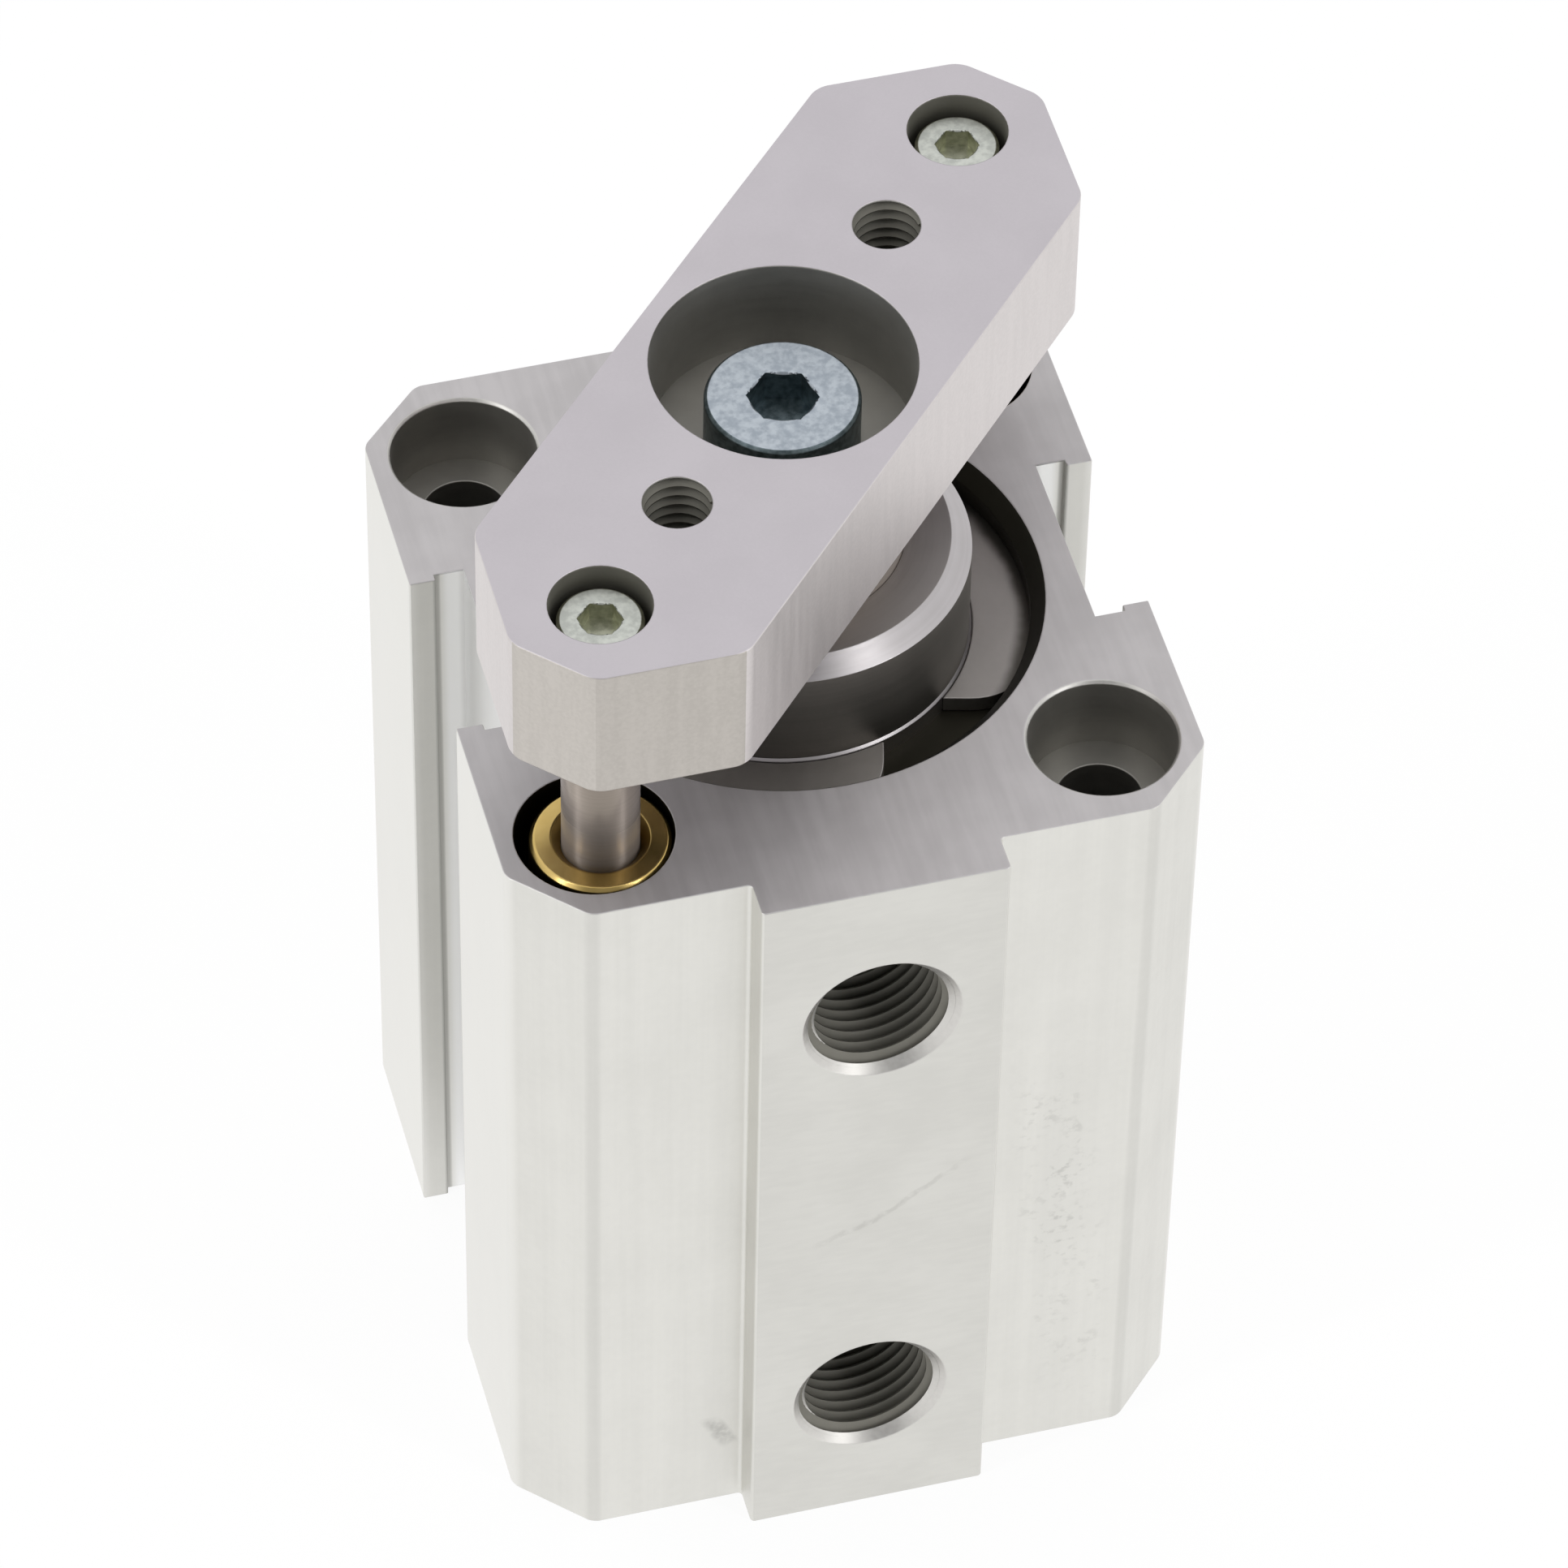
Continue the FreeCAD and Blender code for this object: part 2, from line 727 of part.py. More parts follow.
def make_piston():
    body = new_body("piston")
    shoulder_low = piston_base + size.piston_neck_base
    shoulder_high = magnet_groove_top + size.piston_land
    seat = rod_radius + size.seat_clearance
    hole = size.piston_screw_thread / 2 + size.piston_screw_play
    head = size.piston_screw_head / 2 + size.piston_screw_head_room
    profile = [
        (head, piston_base),
        (neck_radius, piston_base),
        (neck_radius, shoulder_low),
        (piston_radius, shoulder_low),
        (piston_radius, seal_groove_base),
        (seal_floor, seal_groove_base),
        (seal_floor, seal_groove_top),
        (piston_radius, seal_groove_top),
        (piston_radius, magnet_groove_base),
        (magnet_floor, magnet_groove_base),
        (magnet_floor, magnet_groove_top),
        (piston_radius, magnet_groove_top),
        (piston_radius, shoulder_high),
        (neck_radius, shoulder_high),
        (neck_radius, piston_top),
        (seat, piston_top),
        (seat, rod_base),
        (hole, rod_base),
        (hole, piston_screw_seat),
        (head, piston_screw_seat),
    ]
    revolve(body, "turning", profile)
    return body


def make_piston_seal():
    """A seal with two lips, one for each direction of pressure."""
    body = new_body("piston_seal")
    low = seal_groove_base + size.groove_play
    high = seal_groove_top - size.groove_play
    lip = bore_radius - size.piston_seal_clearance
    profile = [
        (seal_floor, low),
        (lip, low),
        (lip - size.piston_seal_notch, (low + high) / 2),
        (lip, high),
        (seal_floor, high),
    ]
    revolve(body, "turning", profile)
    return body


def make_piston_rod():
    body = new_body("piston_rod")
    chamfer = size.rod_end_chamfer
    plate_thread = size.plate_screw_length - (plate_screw_seat - plate_base) + size.thread_spare
    piston_thread = size.piston_screw_length - (rod_base - piston_screw_seat) + size.thread_spare
    profile = tapped_end(size.piston_screw_thread, piston_thread, rod_base, 1)[::-1]
    profile += [
        (rod_radius, rod_base),
        (rod_radius, plate_base - chamfer),
        (rod_radius - chamfer, plate_base),
    ]
    profile += tapped_end(size.plate_screw_thread, plate_thread, plate_base, -1)
    revolve(body, "turning", profile)
    return body


# Front plate: a bar along the line of the guide rods, trimmed to the body's outline
def plate_outline():
    side = half_width - size.plate_side_inset
    end = half_depth - size.plate_end_inset
    half_band = recess_radius + size.plate_side_wall
    half = [
        ((half_band - end * slope_x) / slope_y, -end),
        (side, (side * slope_y - half_band) / slope_x),
        (side, end - size.plate_corner),
        (side - size.plate_corner, end),
    ]
    return half + [(-x, -y) for x, y in half]


def plate_hole(hole, bore, bore_floor, rim):
    """A through hole with a counterbore from the plate's top face."""
    return [
        (0, plate_base - REACH),
        (hole, plate_base - REACH),
        (hole, bore_floor),
        (bore, bore_floor),
        (bore, plate_top - rim),
        (bore + rim, plate_top),
        (bore + rim, plate_top + REACH),
        (0, plate_top + REACH),
    ]


def tap_profile():
    hole = size.tap_diameter / 2
    rim = size.tap_countersink
    return [
        (0, plate_base - REACH),
        (hole + rim, plate_base - REACH),
        (hole + rim, plate_base),
        (hole, plate_base + rim),
        (hole, plate_top - rim),
        (hole + rim, plate_top),
        (hole + rim, plate_top + REACH),
        (0, plate_top + REACH),
    ]


def guide_seat_profile():
    seat = size.guide_diameter / 2 + size.seat_clearance
    return [(0, plate_base - REACH), (seat, plate_base - REACH), (seat, guide_top), (0, guide_top)]


def make_guide_plate():
    body = new_body("guide_plate")
    outline = new_sketch(body, "outline", "XY_Plane", (0, 0, plate_base))
    draw_polygon(outline, plate_outline())
    slab = extrude(body, "slab", outline, size.plate_thickness)

    def upright(edge):
        return edge.BoundBox.ZLength > number_of(size.plate_thickness) / 2

    def level(edge):
        return edge.BoundBox.ZLength < 1e-6

    rounded = dress_edges(body, "Fillet", "corner_rounds", slab, upright, size.plate_round)
    dress_edges(body, "Chamfer", "edge_breaks", rounded, level, size.plate_edge_chamfer)
    screw_hole = size.plate_screw_thread / 2 + size.plate_screw_play
    recess = plate_hole(screw_hole, recess_radius, plate_screw_seat, size.rim_chamfer)
    revolve(body, "recess", recess, cut=True)
    tap_reach = size.tap_circle / 2
    guide_screw_hole = size.guide_screw_thread / 2 + size.guide_screw_play
    screw_bore = plate_hole(guide_screw_hole, guide_screw_bore, guide_screw_seat, size.rim_chamfer)
    for side, name in ((-1, "front"), (1, "back")):
        tap_x = tap_reach * slope_x * side
        tap_y = tap_reach * slope_y * side
        revolve(body, f"{name}_tap", tap_profile(), True, tap_x, tap_y)
        revolve(body, f"{name}_screw_bore", screw_bore, True, guide_x * side, guide_y * side)
        revolve(body, f"{name}_guide_seat", guide_seat_profile(), True, guide_x * side, guide_y * side)
    return body


# Socket screws, all turned from the same profile with a hexagon pocket in the head
def make_screw(label, kind, seat, head_up=True):
    """A screw whose head rests at height seat, with its shank pointing away from the head."""
    body = new_body(label)
    radius = getattr(size, f"{kind}_thread") / 2
    head = getattr(size, f"{kind}_head") / 2
    key = getattr(size, f"{kind}_key")
    chamfer = size.screw_edge_chamfer
    outwards = 1 if head_up else -1
    crown = seat + getattr(size, f"{kind}_head_height") * outwards
    tip = seat - getattr(size, f"{kind}_length") * outwards
    profile = [
        (0, crown),
        (head - chamfer, crown),
        (head, crown - chamfer * outwards),
        (head, seat),
        (radius, seat),
        (radius, tip + chamfer * outwards),
        (radius - chamfer, tip),
        (0, tip),
    ]
    revolve(body, "turning", profile)
    socket = new_sketch(body, "socket", "XY_Plane", (0, 0, crown))
    corner = key * HEXAGON_CORNER
    upper = [(corner, 0), (corner / 2, key / 2), (-corner / 2, key / 2)]
    draw_polygon(socket, upper + [(-x, -y) for x, y in upper[:1]] + [(-x, -y) for x, y in upper[1:]])
    extrude(body, "socket_pocket", socket, getattr(size, f"{kind}_key_depth"), True, not head_up)
    return body


def make_guide_screws():
    """The two guide rod screws, kept together as one group of separate solids."""
    pair = []
    for side, name in ((-1, "front"), (1, "back")):
        screw = make_screw(f"{name}_guide_screw", "guide_screw", guide_screw_seat)
        place(screw, guide_x * side, guide_y * side)
        pair.append(screw)
    group = doc.addObject("Part::Compound", "guide_rod_screws")
    group.Label = "guide_rod_screws"
    group.Links = pair
    return group


front_bumper_base = front_cover_base - size.bumper_stand
rear_bumper_base = rear_cover_top - bumper_seat
pieces = [
    make_cylinder_body(),
    make_rod_cover(),
    make_rear_cover(),
    make_o_ring("rod_cover_o_ring", front_o_ring_height),
    make_o_ring("rear_cover_o_ring", rear_o_ring_height),
    make_tube("rod_bush", rod_radius + size.rod_clearance, rod_bush_radius, rod_bush_base, rod_bush_top),
    make_rod_seal(),
    make_tube("front_bumper", bumper_inner, bumper_outer,
              front_bumper_base, front_bumper_base + size.bumper_thickness),
    make_tube("rear_bumper", bumper_inner, bumper_outer,
              rear_bumper_base, rear_bumper_base + size.bumper_thickness),
    make_retaining_ring("front_retaining_ring", front_ring_base, size.front_ring_gap_angle),
    make_retaining_ring("rear_retaining_ring", size.rear_ring_depth, size.rear_ring_gap_angle),
    make_guide_bush("front_guide_bush", -1),
    make_guide_bush("back_guide_bush", 1),
    make_piston(),
    make_piston_seal(),
    make_tube("piston_magnet", magnet_floor, piston_radius - size.magnet_clearance,
              magnet_groove_base + size.groove_play, magnet_groove_top - size.groove_play),
    make_screw("piston_screw", "piston_screw", piston_screw_seat, head_up=False),
    make_piston_rod(),
    make_guide_rod("front_guide_rod", -1),
    make_guide_rod("back_guide_rod", 1),
    make_guide_plate(),
    make_screw("plate_screw", "plate_screw", plate_screw_seat),
    make_guide_screws(),
]
doc.recompute()

# Nothing is written unless every feature worked, every cut removed material and every piece is sound
for item in doc.Objects:
    if "Invalid" in item.State or "Error" in item.State:
        raise RuntimeError(f"{item.Label} failed: {item.State}")
    if item.TypeId in ("PartDesign::Groove", "PartDesign::Pocket"):
        if item.Shape.Volume > item.BaseFeature.Shape.Volume - 1e-6:
            raise RuntimeError(f"{item.Label} cuts nothing")
for piece in pieces:
    if piece.Shape.isNull() or not piece.Shape.isValid() or not piece.Shape.Solids:
        raise RuntimeError(f"{piece.Label} has no sound solid")

os.makedirs("parts", exist_ok=True)
for piece in pieces:
    piece.Shape.exportStep(f"parts/{piece.Label}.step")
    print(f"{piece.Label}: {len(piece.Shape.Solids)} solid, {piece.Shape.Volume:.1f} mm3")
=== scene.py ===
# %% [markdown]
# # A short-stroke cylinder with guide rods
# The imported CAD model is the skeleton of this scene: it says where every piece is and how it
# moves. Blender adds what a drawing leaves out, which is broken edges, cut threads and the finish
# of each metal. The frame is loaded first.

# %% Load the frame
import math

import bmesh
import bpy
from mathutils import Matrix, Vector


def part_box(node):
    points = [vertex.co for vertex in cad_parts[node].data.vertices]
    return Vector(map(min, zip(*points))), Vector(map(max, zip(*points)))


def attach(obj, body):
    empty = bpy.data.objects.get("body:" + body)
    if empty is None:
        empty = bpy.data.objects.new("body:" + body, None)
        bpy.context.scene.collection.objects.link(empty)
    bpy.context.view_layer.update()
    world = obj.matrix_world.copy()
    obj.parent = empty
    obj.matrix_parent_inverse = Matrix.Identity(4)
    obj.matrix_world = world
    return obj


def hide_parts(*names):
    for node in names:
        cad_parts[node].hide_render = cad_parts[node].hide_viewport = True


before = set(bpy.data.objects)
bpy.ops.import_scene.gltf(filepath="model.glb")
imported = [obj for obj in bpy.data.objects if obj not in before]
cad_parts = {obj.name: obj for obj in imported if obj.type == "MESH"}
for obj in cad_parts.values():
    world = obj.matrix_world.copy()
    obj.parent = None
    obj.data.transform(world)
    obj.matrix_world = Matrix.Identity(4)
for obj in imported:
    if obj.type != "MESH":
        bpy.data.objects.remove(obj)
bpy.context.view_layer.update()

MM = 0.001

# %% [markdown]
# ## Shader sums
# A finish is a small graph of nodes. Linking nodes by hand hides the idea behind them, so a socket
# is wrapped in a class whose operators add Math nodes: a sum in Python becomes the same sum in the
# shader. Every other node comes from one method, which sets the node's own settings first and its
# sockets after that.

# %% A socket that can be used in sums
class Wire:
    """An output socket. Operators on it add Math nodes to the same tree."""

    def __init__(self, graph, socket):
        self.graph = graph
        self.socket = socket

    def sum_of(self, operation, *values):
        return self.graph.node("ShaderNodeMath", {"operation": operation}, dict(enumerate(values)))

    def __add__(self, other):
        return self.sum_of("ADD", self, other)

    def __radd__(self, other):
        return self.sum_of("ADD", other, self)

    def __sub__(self, other):
        return self.sum_of("SUBTRACT", self, other)

    def __rsub__(self, other):
        return self.sum_of("SUBTRACT", other, self)

    def __mul__(self, other):
        return self.sum_of("MULTIPLY", self, other)

    def __rmul__(self, other):
        return self.sum_of("MULTIPLY", other, self)

    def __pow__(self, other):
        return self.sum_of("POWER", self, other)

    def __abs__(self):
        return self.sum_of("ABSOLUTE", self)

    def larger(self, other):
        return self.sum_of("MAXIMUM", self, other)

    def sibling(self, name):
        """Another output of the same node."""
        return Wire(self.graph, self.socket.node.outputs[name])


class Graph:
    """A node tree, and the one method that adds nodes to it."""

    def __init__(self, tree):
        self.tree = tree

    def node(self, kind, settings=None, sockets=None, output=0):
        made = self.tree.nodes.new(kind)
        for name, value in (settings or {}).items():
            setattr(made, name, value)
        for name, value in (sockets or {}).items():
            self.plug(made.inputs[name], value)
        return Wire(self, made.outputs[output])

    def plug(self, socket, value):
        if isinstance(value, Wire):
            self.tree.links.new(value.socket, socket)
        else:
            socket.default_value = value

    def spots(self, pattern, low, high):
        """0 below low, 1 above high, and a smooth step between."""
        settings = {"interpolation_type": "SMOOTHSTEP"}
        return self.node("ShaderNodeMapRange", settings, {0: pattern, 1: low, 2: high})


print("Shader sums are ready")

# %% [markdown]
# ## Finishes
# Each finish reads Object coordinates. The frame is in metres and the marks on metal are finer than
# a millimetre, so the coordinates are first multiplied to count in millimetres. Then a noise scale
# of 5 means five marks to the millimetre, and a stretched copy of the coordinates draws marks out
# into brush lines.

# %% A finish and the patterns that finishes share
class Finish(Graph):
    """A material with one Principled shader. Constants go straight to the shader's sockets."""

    def __init__(self, name, **constants):
        self.material = bpy.data.materials.new(name)
        self.material.use_nodes = True
        super().__init__(self.material.node_tree)
        self.shader = self.tree.nodes["Principled BSDF"]
        for socket, value in constants.items():
            self.shader.inputs[socket.replace("_", " ")].default_value = value
        place = self.node("ShaderNodeTexCoord", output="Object")
        scaling = {"Vector": place, "Scale": 1 / MM}
        self.place = self.node("ShaderNodeVectorMath", {"operation": "SCALE"}, scaling)
        parts = self.node("ShaderNodeSeparateXYZ", None, {"Vector": self.place})
        self.x, self.y, self.z = (parts.sibling(axis) for axis in "XYZ")

    def radius(self):
        """The distance from the Z axis."""
        return (self.x * self.x + self.y * self.y) ** 0.5

    def noise(self, scale, detail=2.0, along=(1, 1, 1)):
        """Noise from 0 to 1, with scale times along marks to the millimetre in X, Y and Z."""
        stretch = {"operation": "MULTIPLY"}
        path = self.node("ShaderNodeVectorMath", stretch, {0: self.place, 1: along})
        return self.noise_on(path, scale, detail)

    def noise_on(self, path, scale, detail):
        sockets = {"Vector": path, "Scale": scale, "Detail": detail}
        return self.node("ShaderNodeTexNoise", None, sockets)

    def near(self, value, middle, reach):
        """1 where a value is at its middle, falling smoothly to 0 at the reach on either side."""
        offset = value - middle
        return 1 - self.spots(offset * offset, 0.0, reach * reach)

    def colours(self, factor, first, second):
        """A mix of two colours."""
        settings = {"data_type": "RGBA"}
        return self.node("ShaderNodeMix", settings, {0: factor, 6: first, 7: second}, output=2)

    def surface(self, colour, roughness, relief=None, depth=0.0):
        """Feed the shader. A relief's full height is its depth in metres."""
        inputs = self.shader.inputs
        self.plug(inputs["Base Color"], colour)
        self.plug(inputs["Roughness"], roughness)
        if relief is not None:
            sockets = {"Strength": 1.0, "Distance": depth, "Height": relief}
            self.plug(inputs["Normal"], self.node("ShaderNodeBump", None, sockets))
        print("Made", self.material.name)

    def overlay(self, factor, second):
        """Mix a second shader over the Principled one."""
        first = Wire(self, self.shader.outputs[0])
        mixed = self.node("ShaderNodeMixShader", None, {0: factor, 1: first, 2: second})
        self.plug(self.tree.nodes["Material Output"].inputs["Surface"], mixed)


def tint(red, green, blue):
    """A colour from the 0 to 255 levels that a screen shows."""
    levels = (((level / 255 + 0.055) / 1.055) ** 2.4 for level in (red, green, blue))
    return (*levels, 1.0)


print("Finishes can be mixed")

# %% [markdown]
# ### Extruded skin
# The sides of the body are drawn aluminium under a thin satin anodised layer. The flank faces are
# painted paler than the front, as light, and a faint line of painted shade runs where each corner
# begins. The lips of the channels are darker and the walls under them paler, a painted shadow
# darkens the undercut, and painted shade darkens the channel floors. Where each of these is follows
# from the distance to the axis, across the body or along its depth. In the pairs below, a change
# begins at the first distance in millimetres and is complete at the second.

# %% Places on the extruded skin
skin = Finish("extruded_skin", Metallic=1.0)
flank_edge = (22.3, 22.9)
front_edge = (22.8, 23.6)
channel_edge = (7.0, 7.4)
lip_edge = (21.0, 21.3)
pale_edge = (20.2, 21.0)
floor_edge = (19.3, 19.7)
across = abs(skin.x)
lengthways = abs(skin.y)
lit_flanks = skin.spots(across, *flank_edge)
on_front = skin.spots(0 - skin.y, *front_edge)
# A faint line of painted shade on the front where each corner begins.
corner_shade = skin.near(across, 18.35, 0.6) * on_front
channels = 1 - skin.spots(lengthways, *channel_edge)
lips = skin.near(lengthways, 6.45, 0.3) * skin.spots(across, *lip_edge)
# A painted shadow in the undercut under each lip.
undercut_shadow = skin.near(across, 21.1, 0.35) * channels
under_lips = channels * (1 - skin.spots(across, *pale_edge))
# Painted shade on the channel floors.
channel_floor_shade = (1 - skin.spots(across, *floor_edge)) * channels
print("Found the places on", skin.material.name)

# %% [markdown]
# The press also leaves soft, wide streaks along the length, which long noise along Z makes. Handling
# leaves pits and one grey smudge. The pits are noise that only shows above a threshold, along the
# slanting band on the right lobe where the real body has them.

# %% Streaks of the extruded skin
streaks = skin.noise(0.55, along=(1, 1, 0.03))
fine_lines = skin.noise(3.0, along=(1, 1, 0.02))
blotches = skin.noise(0.14, 3.0)
skin_grain = skin.noise(1.6, 3.0)
drawn = streaks * 0.35 + fine_lines * 0.15 + blotches * 0.35 + skin_grain * 0.15
skin_tone = skin.spots(drawn, 0.3, 0.7)
front_colour = skin.colours(skin_tone, tint(223, 222, 217), tint(231, 230, 225))
# The flank faces are painted paler than the front, as light.
side_colour = skin.colours(lit_flanks * 0.7, front_colour, tint(242, 241, 237))
skin_colour = skin.colours(under_lips, side_colour, tint(247, 247, 246))
print("Made the streaks of", skin.material.name)

# %% Pits and smudge of the extruded skin
pit_line = skin.x + 0.085 * skin.z
pit_band = skin.near(pit_line, 15.4, 3.4) * skin.near(skin.z, 22.0, 21.0) * on_front
clusters = skin.spots(skin.noise(0.35), 0.35, 0.65)
pits = skin.spots(skin.noise(1.7), 0.5, 0.72) * clusters * pit_band
smudge_line = skin.x + 0.45 * skin.z
smudge = skin.near(smudge_line, -6.4, 0.9) * skin.near(skin.z, 7.2, 1.9) * on_front
smudge_grain = skin.spots(skin.noise(1.5, 3.0), 0.2, 0.7)
# Pits and the smudge are marks; the corner line, the undercut and the channel floors add painted shade,
# and the lips are darker.
marks_and_shade = pits * 0.28 + smudge * smudge_grain * 0.5 + corner_shade * (0.08 + 0.12 * streaks)
marks_and_shade = marks_and_shade + lips * 0.16 + undercut_shadow * 0.6 + channel_floor_shade * 0.2
skin.surface(
    colour=skin.colours(marks_and_shade, skin_colour, tint(150, 149, 145)),
    roughness=0.42 + 0.08 * streaks,
    relief=fine_lines * 0.4 + skin_grain * 0.4 - pits,
    depth=0.006 * MM,
)

# %% [markdown]
# ### Brushed boss
# The face that carries the ports was skimmed flat and brushed by hand. Its lines are fine and faint,
# and one long scratch crosses it. The scratch is the narrow band where a bent line in X and Z is
# near a set height.

# %% Brushed boss
boss = Finish("brushed_boss", Metallic=1.0)
brush = boss.noise(2.0, along=(0.25, 1, 1))
cloud = boss.noise(0.18, 3.0)
wander = boss.noise(0.8)
rise = (boss.x * 0.72).larger(boss.x * 0.38)
scratch_line = boss.z - rise + 0.9 * wander
hairline = boss.near(scratch_line, 30.3, 0.4) * boss.near(boss.x, 1.0, 6.0)
scratch = hairline * boss.spots(boss.noise(1.4), 0.3, 0.6)
boss_tone = boss.spots(brush * 0.4 + cloud * 0.6, 0.3, 0.7)
boss_colour = boss.colours(boss_tone, tint(214, 213, 208), tint(221, 220, 215))
boss.surface(
    colour=boss.colours(scratch * 0.22, boss_colour, tint(150, 148, 143)),
    roughness=0.40 + 0.08 * brush,
    relief=brush,
    depth=0.003 * MM,
)

# %% [markdown]
# ### Milled ends, blasted plate and cut edges
# The body's ends were milled, which left soft lines along Y. The plate was blasted with fine beads,
# which gives an even grain with no direction. Its long sides are pale, and its ends, which came from
# the saw, are warmer and darker. The corner faces between them get the ends' finish painted a little
# lighter, as light. Where a tool broke the edge of a hole, the fresh metal is smooth, so those narrow
# cones shine.

# %% Milled ends
milled_end = Finish("milled_end", Metallic=1.0)
mill_lines = milled_end.noise(1.5, along=(1.0, 0.06, 1.0))
mill_cloud = milled_end.noise(0.3, 3.0)
mill_tone = milled_end.spots(mill_lines * 0.5 + mill_cloud * 0.5, 0.3, 0.7)
milled_end.surface(
    colour=milled_end.colours(mill_tone, tint(205, 202, 203), tint(216, 213, 214)),
    roughness=0.56 + 0.08 * mill_lines,
    relief=mill_lines,
    depth=0.004 * MM,
)

# %% Blasted plate
blasted_plate = Finish("blasted_plate", Metallic=1.0)
beads = blasted_plate.noise(6.0)
plate_cloud = blasted_plate.noise(0.2, 3.0)
plate_tone = blasted_plate.spots(beads * 0.4 + plate_cloud * 0.6, 0.3, 0.7)
blasted_plate.surface(
    colour=blasted_plate.colours(plate_tone, tint(208, 203, 208), tint(213, 208, 213)),
    roughness=0.46 + 0.08 * beads,
    relief=beads,
    depth=0.004 * MM,
)

# %% Sides of the plate
def sawn_side(name, dark, light):
    sawn = Finish(name, Metallic=1.0)
    side_lines = sawn.noise(1.5, along=(1, 1, 0.1))
    side_grain = sawn.noise(4.0)
    sawn_marks = side_lines * 0.5 + side_grain * 0.5
    sawn.surface(
        colour=sawn.colours(sawn.spots(sawn_marks, 0.3, 0.7), dark, light),
        roughness=0.44 + 0.08 * side_lines,
        relief=sawn_marks,
        depth=0.004 * MM,
    )
    return sawn


plate_side = sawn_side("plate_side", tint(217, 212, 211), tint(224, 219, 218))
plate_end = sawn_side("plate_end", tint(189, 184, 178), tint(198, 193, 187))
# A lighter copy of the ends' finish: painted light on the corner faces.
plate_lit_corner_end = sawn_side("plate_lit_corner_end", tint(197, 192, 186), tint(206, 201, 195))

# %% Cut edges
cut_edge = Finish("cut_edge", Metallic=1.0)
edge_grain = cut_edge.noise(3.0)
cut_edge.surface(
    colour=cut_edge.colours(edge_grain, tint(206, 204, 200), tint(222, 220, 216)),
    roughness=0.36 + 0.12 * edge_grain,
)

# %% [markdown]
# ### Walls of holes
# Bored walls are painted darker than the outside, as shade in the holes, with rings that follow the
# tool. Threads are darker again. The big bore is the darkest: it is hard anodised and oiled, and its
# dark finish is also painted shade in the bore's mouth, in the crescents beside the brass bushes and
# on the rod cover where the ring's gap shows it.

# %% Bored walls
def bored_metal(name, dark, light, roughness):
    bored = Finish(name, Metallic=1.0)
    tool_rings = bored.noise(3.0, along=(0.05, 0.05, 1.0))
    bore_grain = bored.noise(0.6, 3.0)
    bored.surface(
        colour=bored.colours(tool_rings * 0.4 + bore_grain * 0.6, dark, light),
        roughness=roughness + 0.1 * tool_rings,
        relief=tool_rings,
        depth=0.004 * MM,
    )
    return bored


# Painted darker than the outside, as shade in the holes.
bored_wall = bored_metal("bored_wall", tint(158, 156, 151), tint(182, 180, 175), 0.45)
cut_thread = bored_metal("cut_thread", tint(130, 128, 120), tint(152, 150, 142), 0.6)
# Oil and hard anodising, and also painted shade in the bore's mouth, the crescents and the cover in the
# ring's gap.
oiled_and_shaded_bore = bored_metal("oiled_and_shaded_bore", tint(48, 46, 40), tint(64, 62, 54), 0.4)

# %% [markdown]
# ### Turned parts
# A lathe leaves rings round the axis. Noise along the distance from the Z axis gives rings on flat
# faces, and noise along the height gives rings on walls, so a path of just these two serves the
# whole turned piece. The hub's face is rougher and painted darker, as shade under the plate, its
# wall is painted dark, as shade and dark reflections, and the chamfer, which was cut last, keeps the
# bright turned finish.

# %% Turned aluminium
def turned_metal(name, dark, light, roughness):
    metal = Finish(name, Metallic=1.0)
    path = metal.node("ShaderNodeCombineXYZ", None, {"X": metal.radius(), "Y": metal.z})
    rings = metal.noise_on(path, 4.0, 3.0)
    dulling = metal.noise(0.5, 3.0)
    metal.surface(
        colour=metal.colours(rings * 0.6 + dulling * 0.4, dark, light),
        roughness=roughness + 0.12 * rings,
        relief=rings,
        depth=0.004 * MM,
    )
    return metal


turned_aluminium = turned_metal("turned_aluminium", tint(180, 176, 176), tint(206, 202, 204), 0.28)
shaded_hub_face = turned_metal("shaded_hub_face", tint(170, 166, 164), tint(190, 186, 184), 0.46)
shaded_hub_wall = turned_metal("shaded_hub_wall", tint(116, 113, 108), tint(140, 136, 130), 0.46)

# %% [markdown]
# The retaining rings are tumbled spring steel, stained here and there. Their outer edge lies in the
# groove and is painted dark there, as shade from the wall of the bore.

# %% Spring steel of the retaining rings
spring_steel = Finish("spring_steel", Metallic=1.0)
tumbled = spring_steel.noise(2.0, 3.0)
stains = spring_steel.noise(0.3, 3.0)
# Painted shade at the ring's outer edge, by the wall of the bore.
groove_shade = spring_steel.spots(spring_steel.radius() + stains, 15.5, 16.5)
sheet_tone = tumbled * 0.4 + stains * 0.6
sheet_colour = spring_steel.colours(sheet_tone, tint(170, 166, 163), tint(194, 190, 187))
spring_steel.surface(
    colour=spring_steel.colours(groove_shade, sheet_colour, tint(96, 93, 88)),
    roughness=0.4 + 0.12 * tumbled,
    relief=tumbled,
    depth=0.003 * MM,
)

# %% [markdown]
# ### Brass and bronze
# The guide bushes are turned brass, brighter in some places and browner in others. The rod bearing
# in the cover is sintered bronze, which has pores.

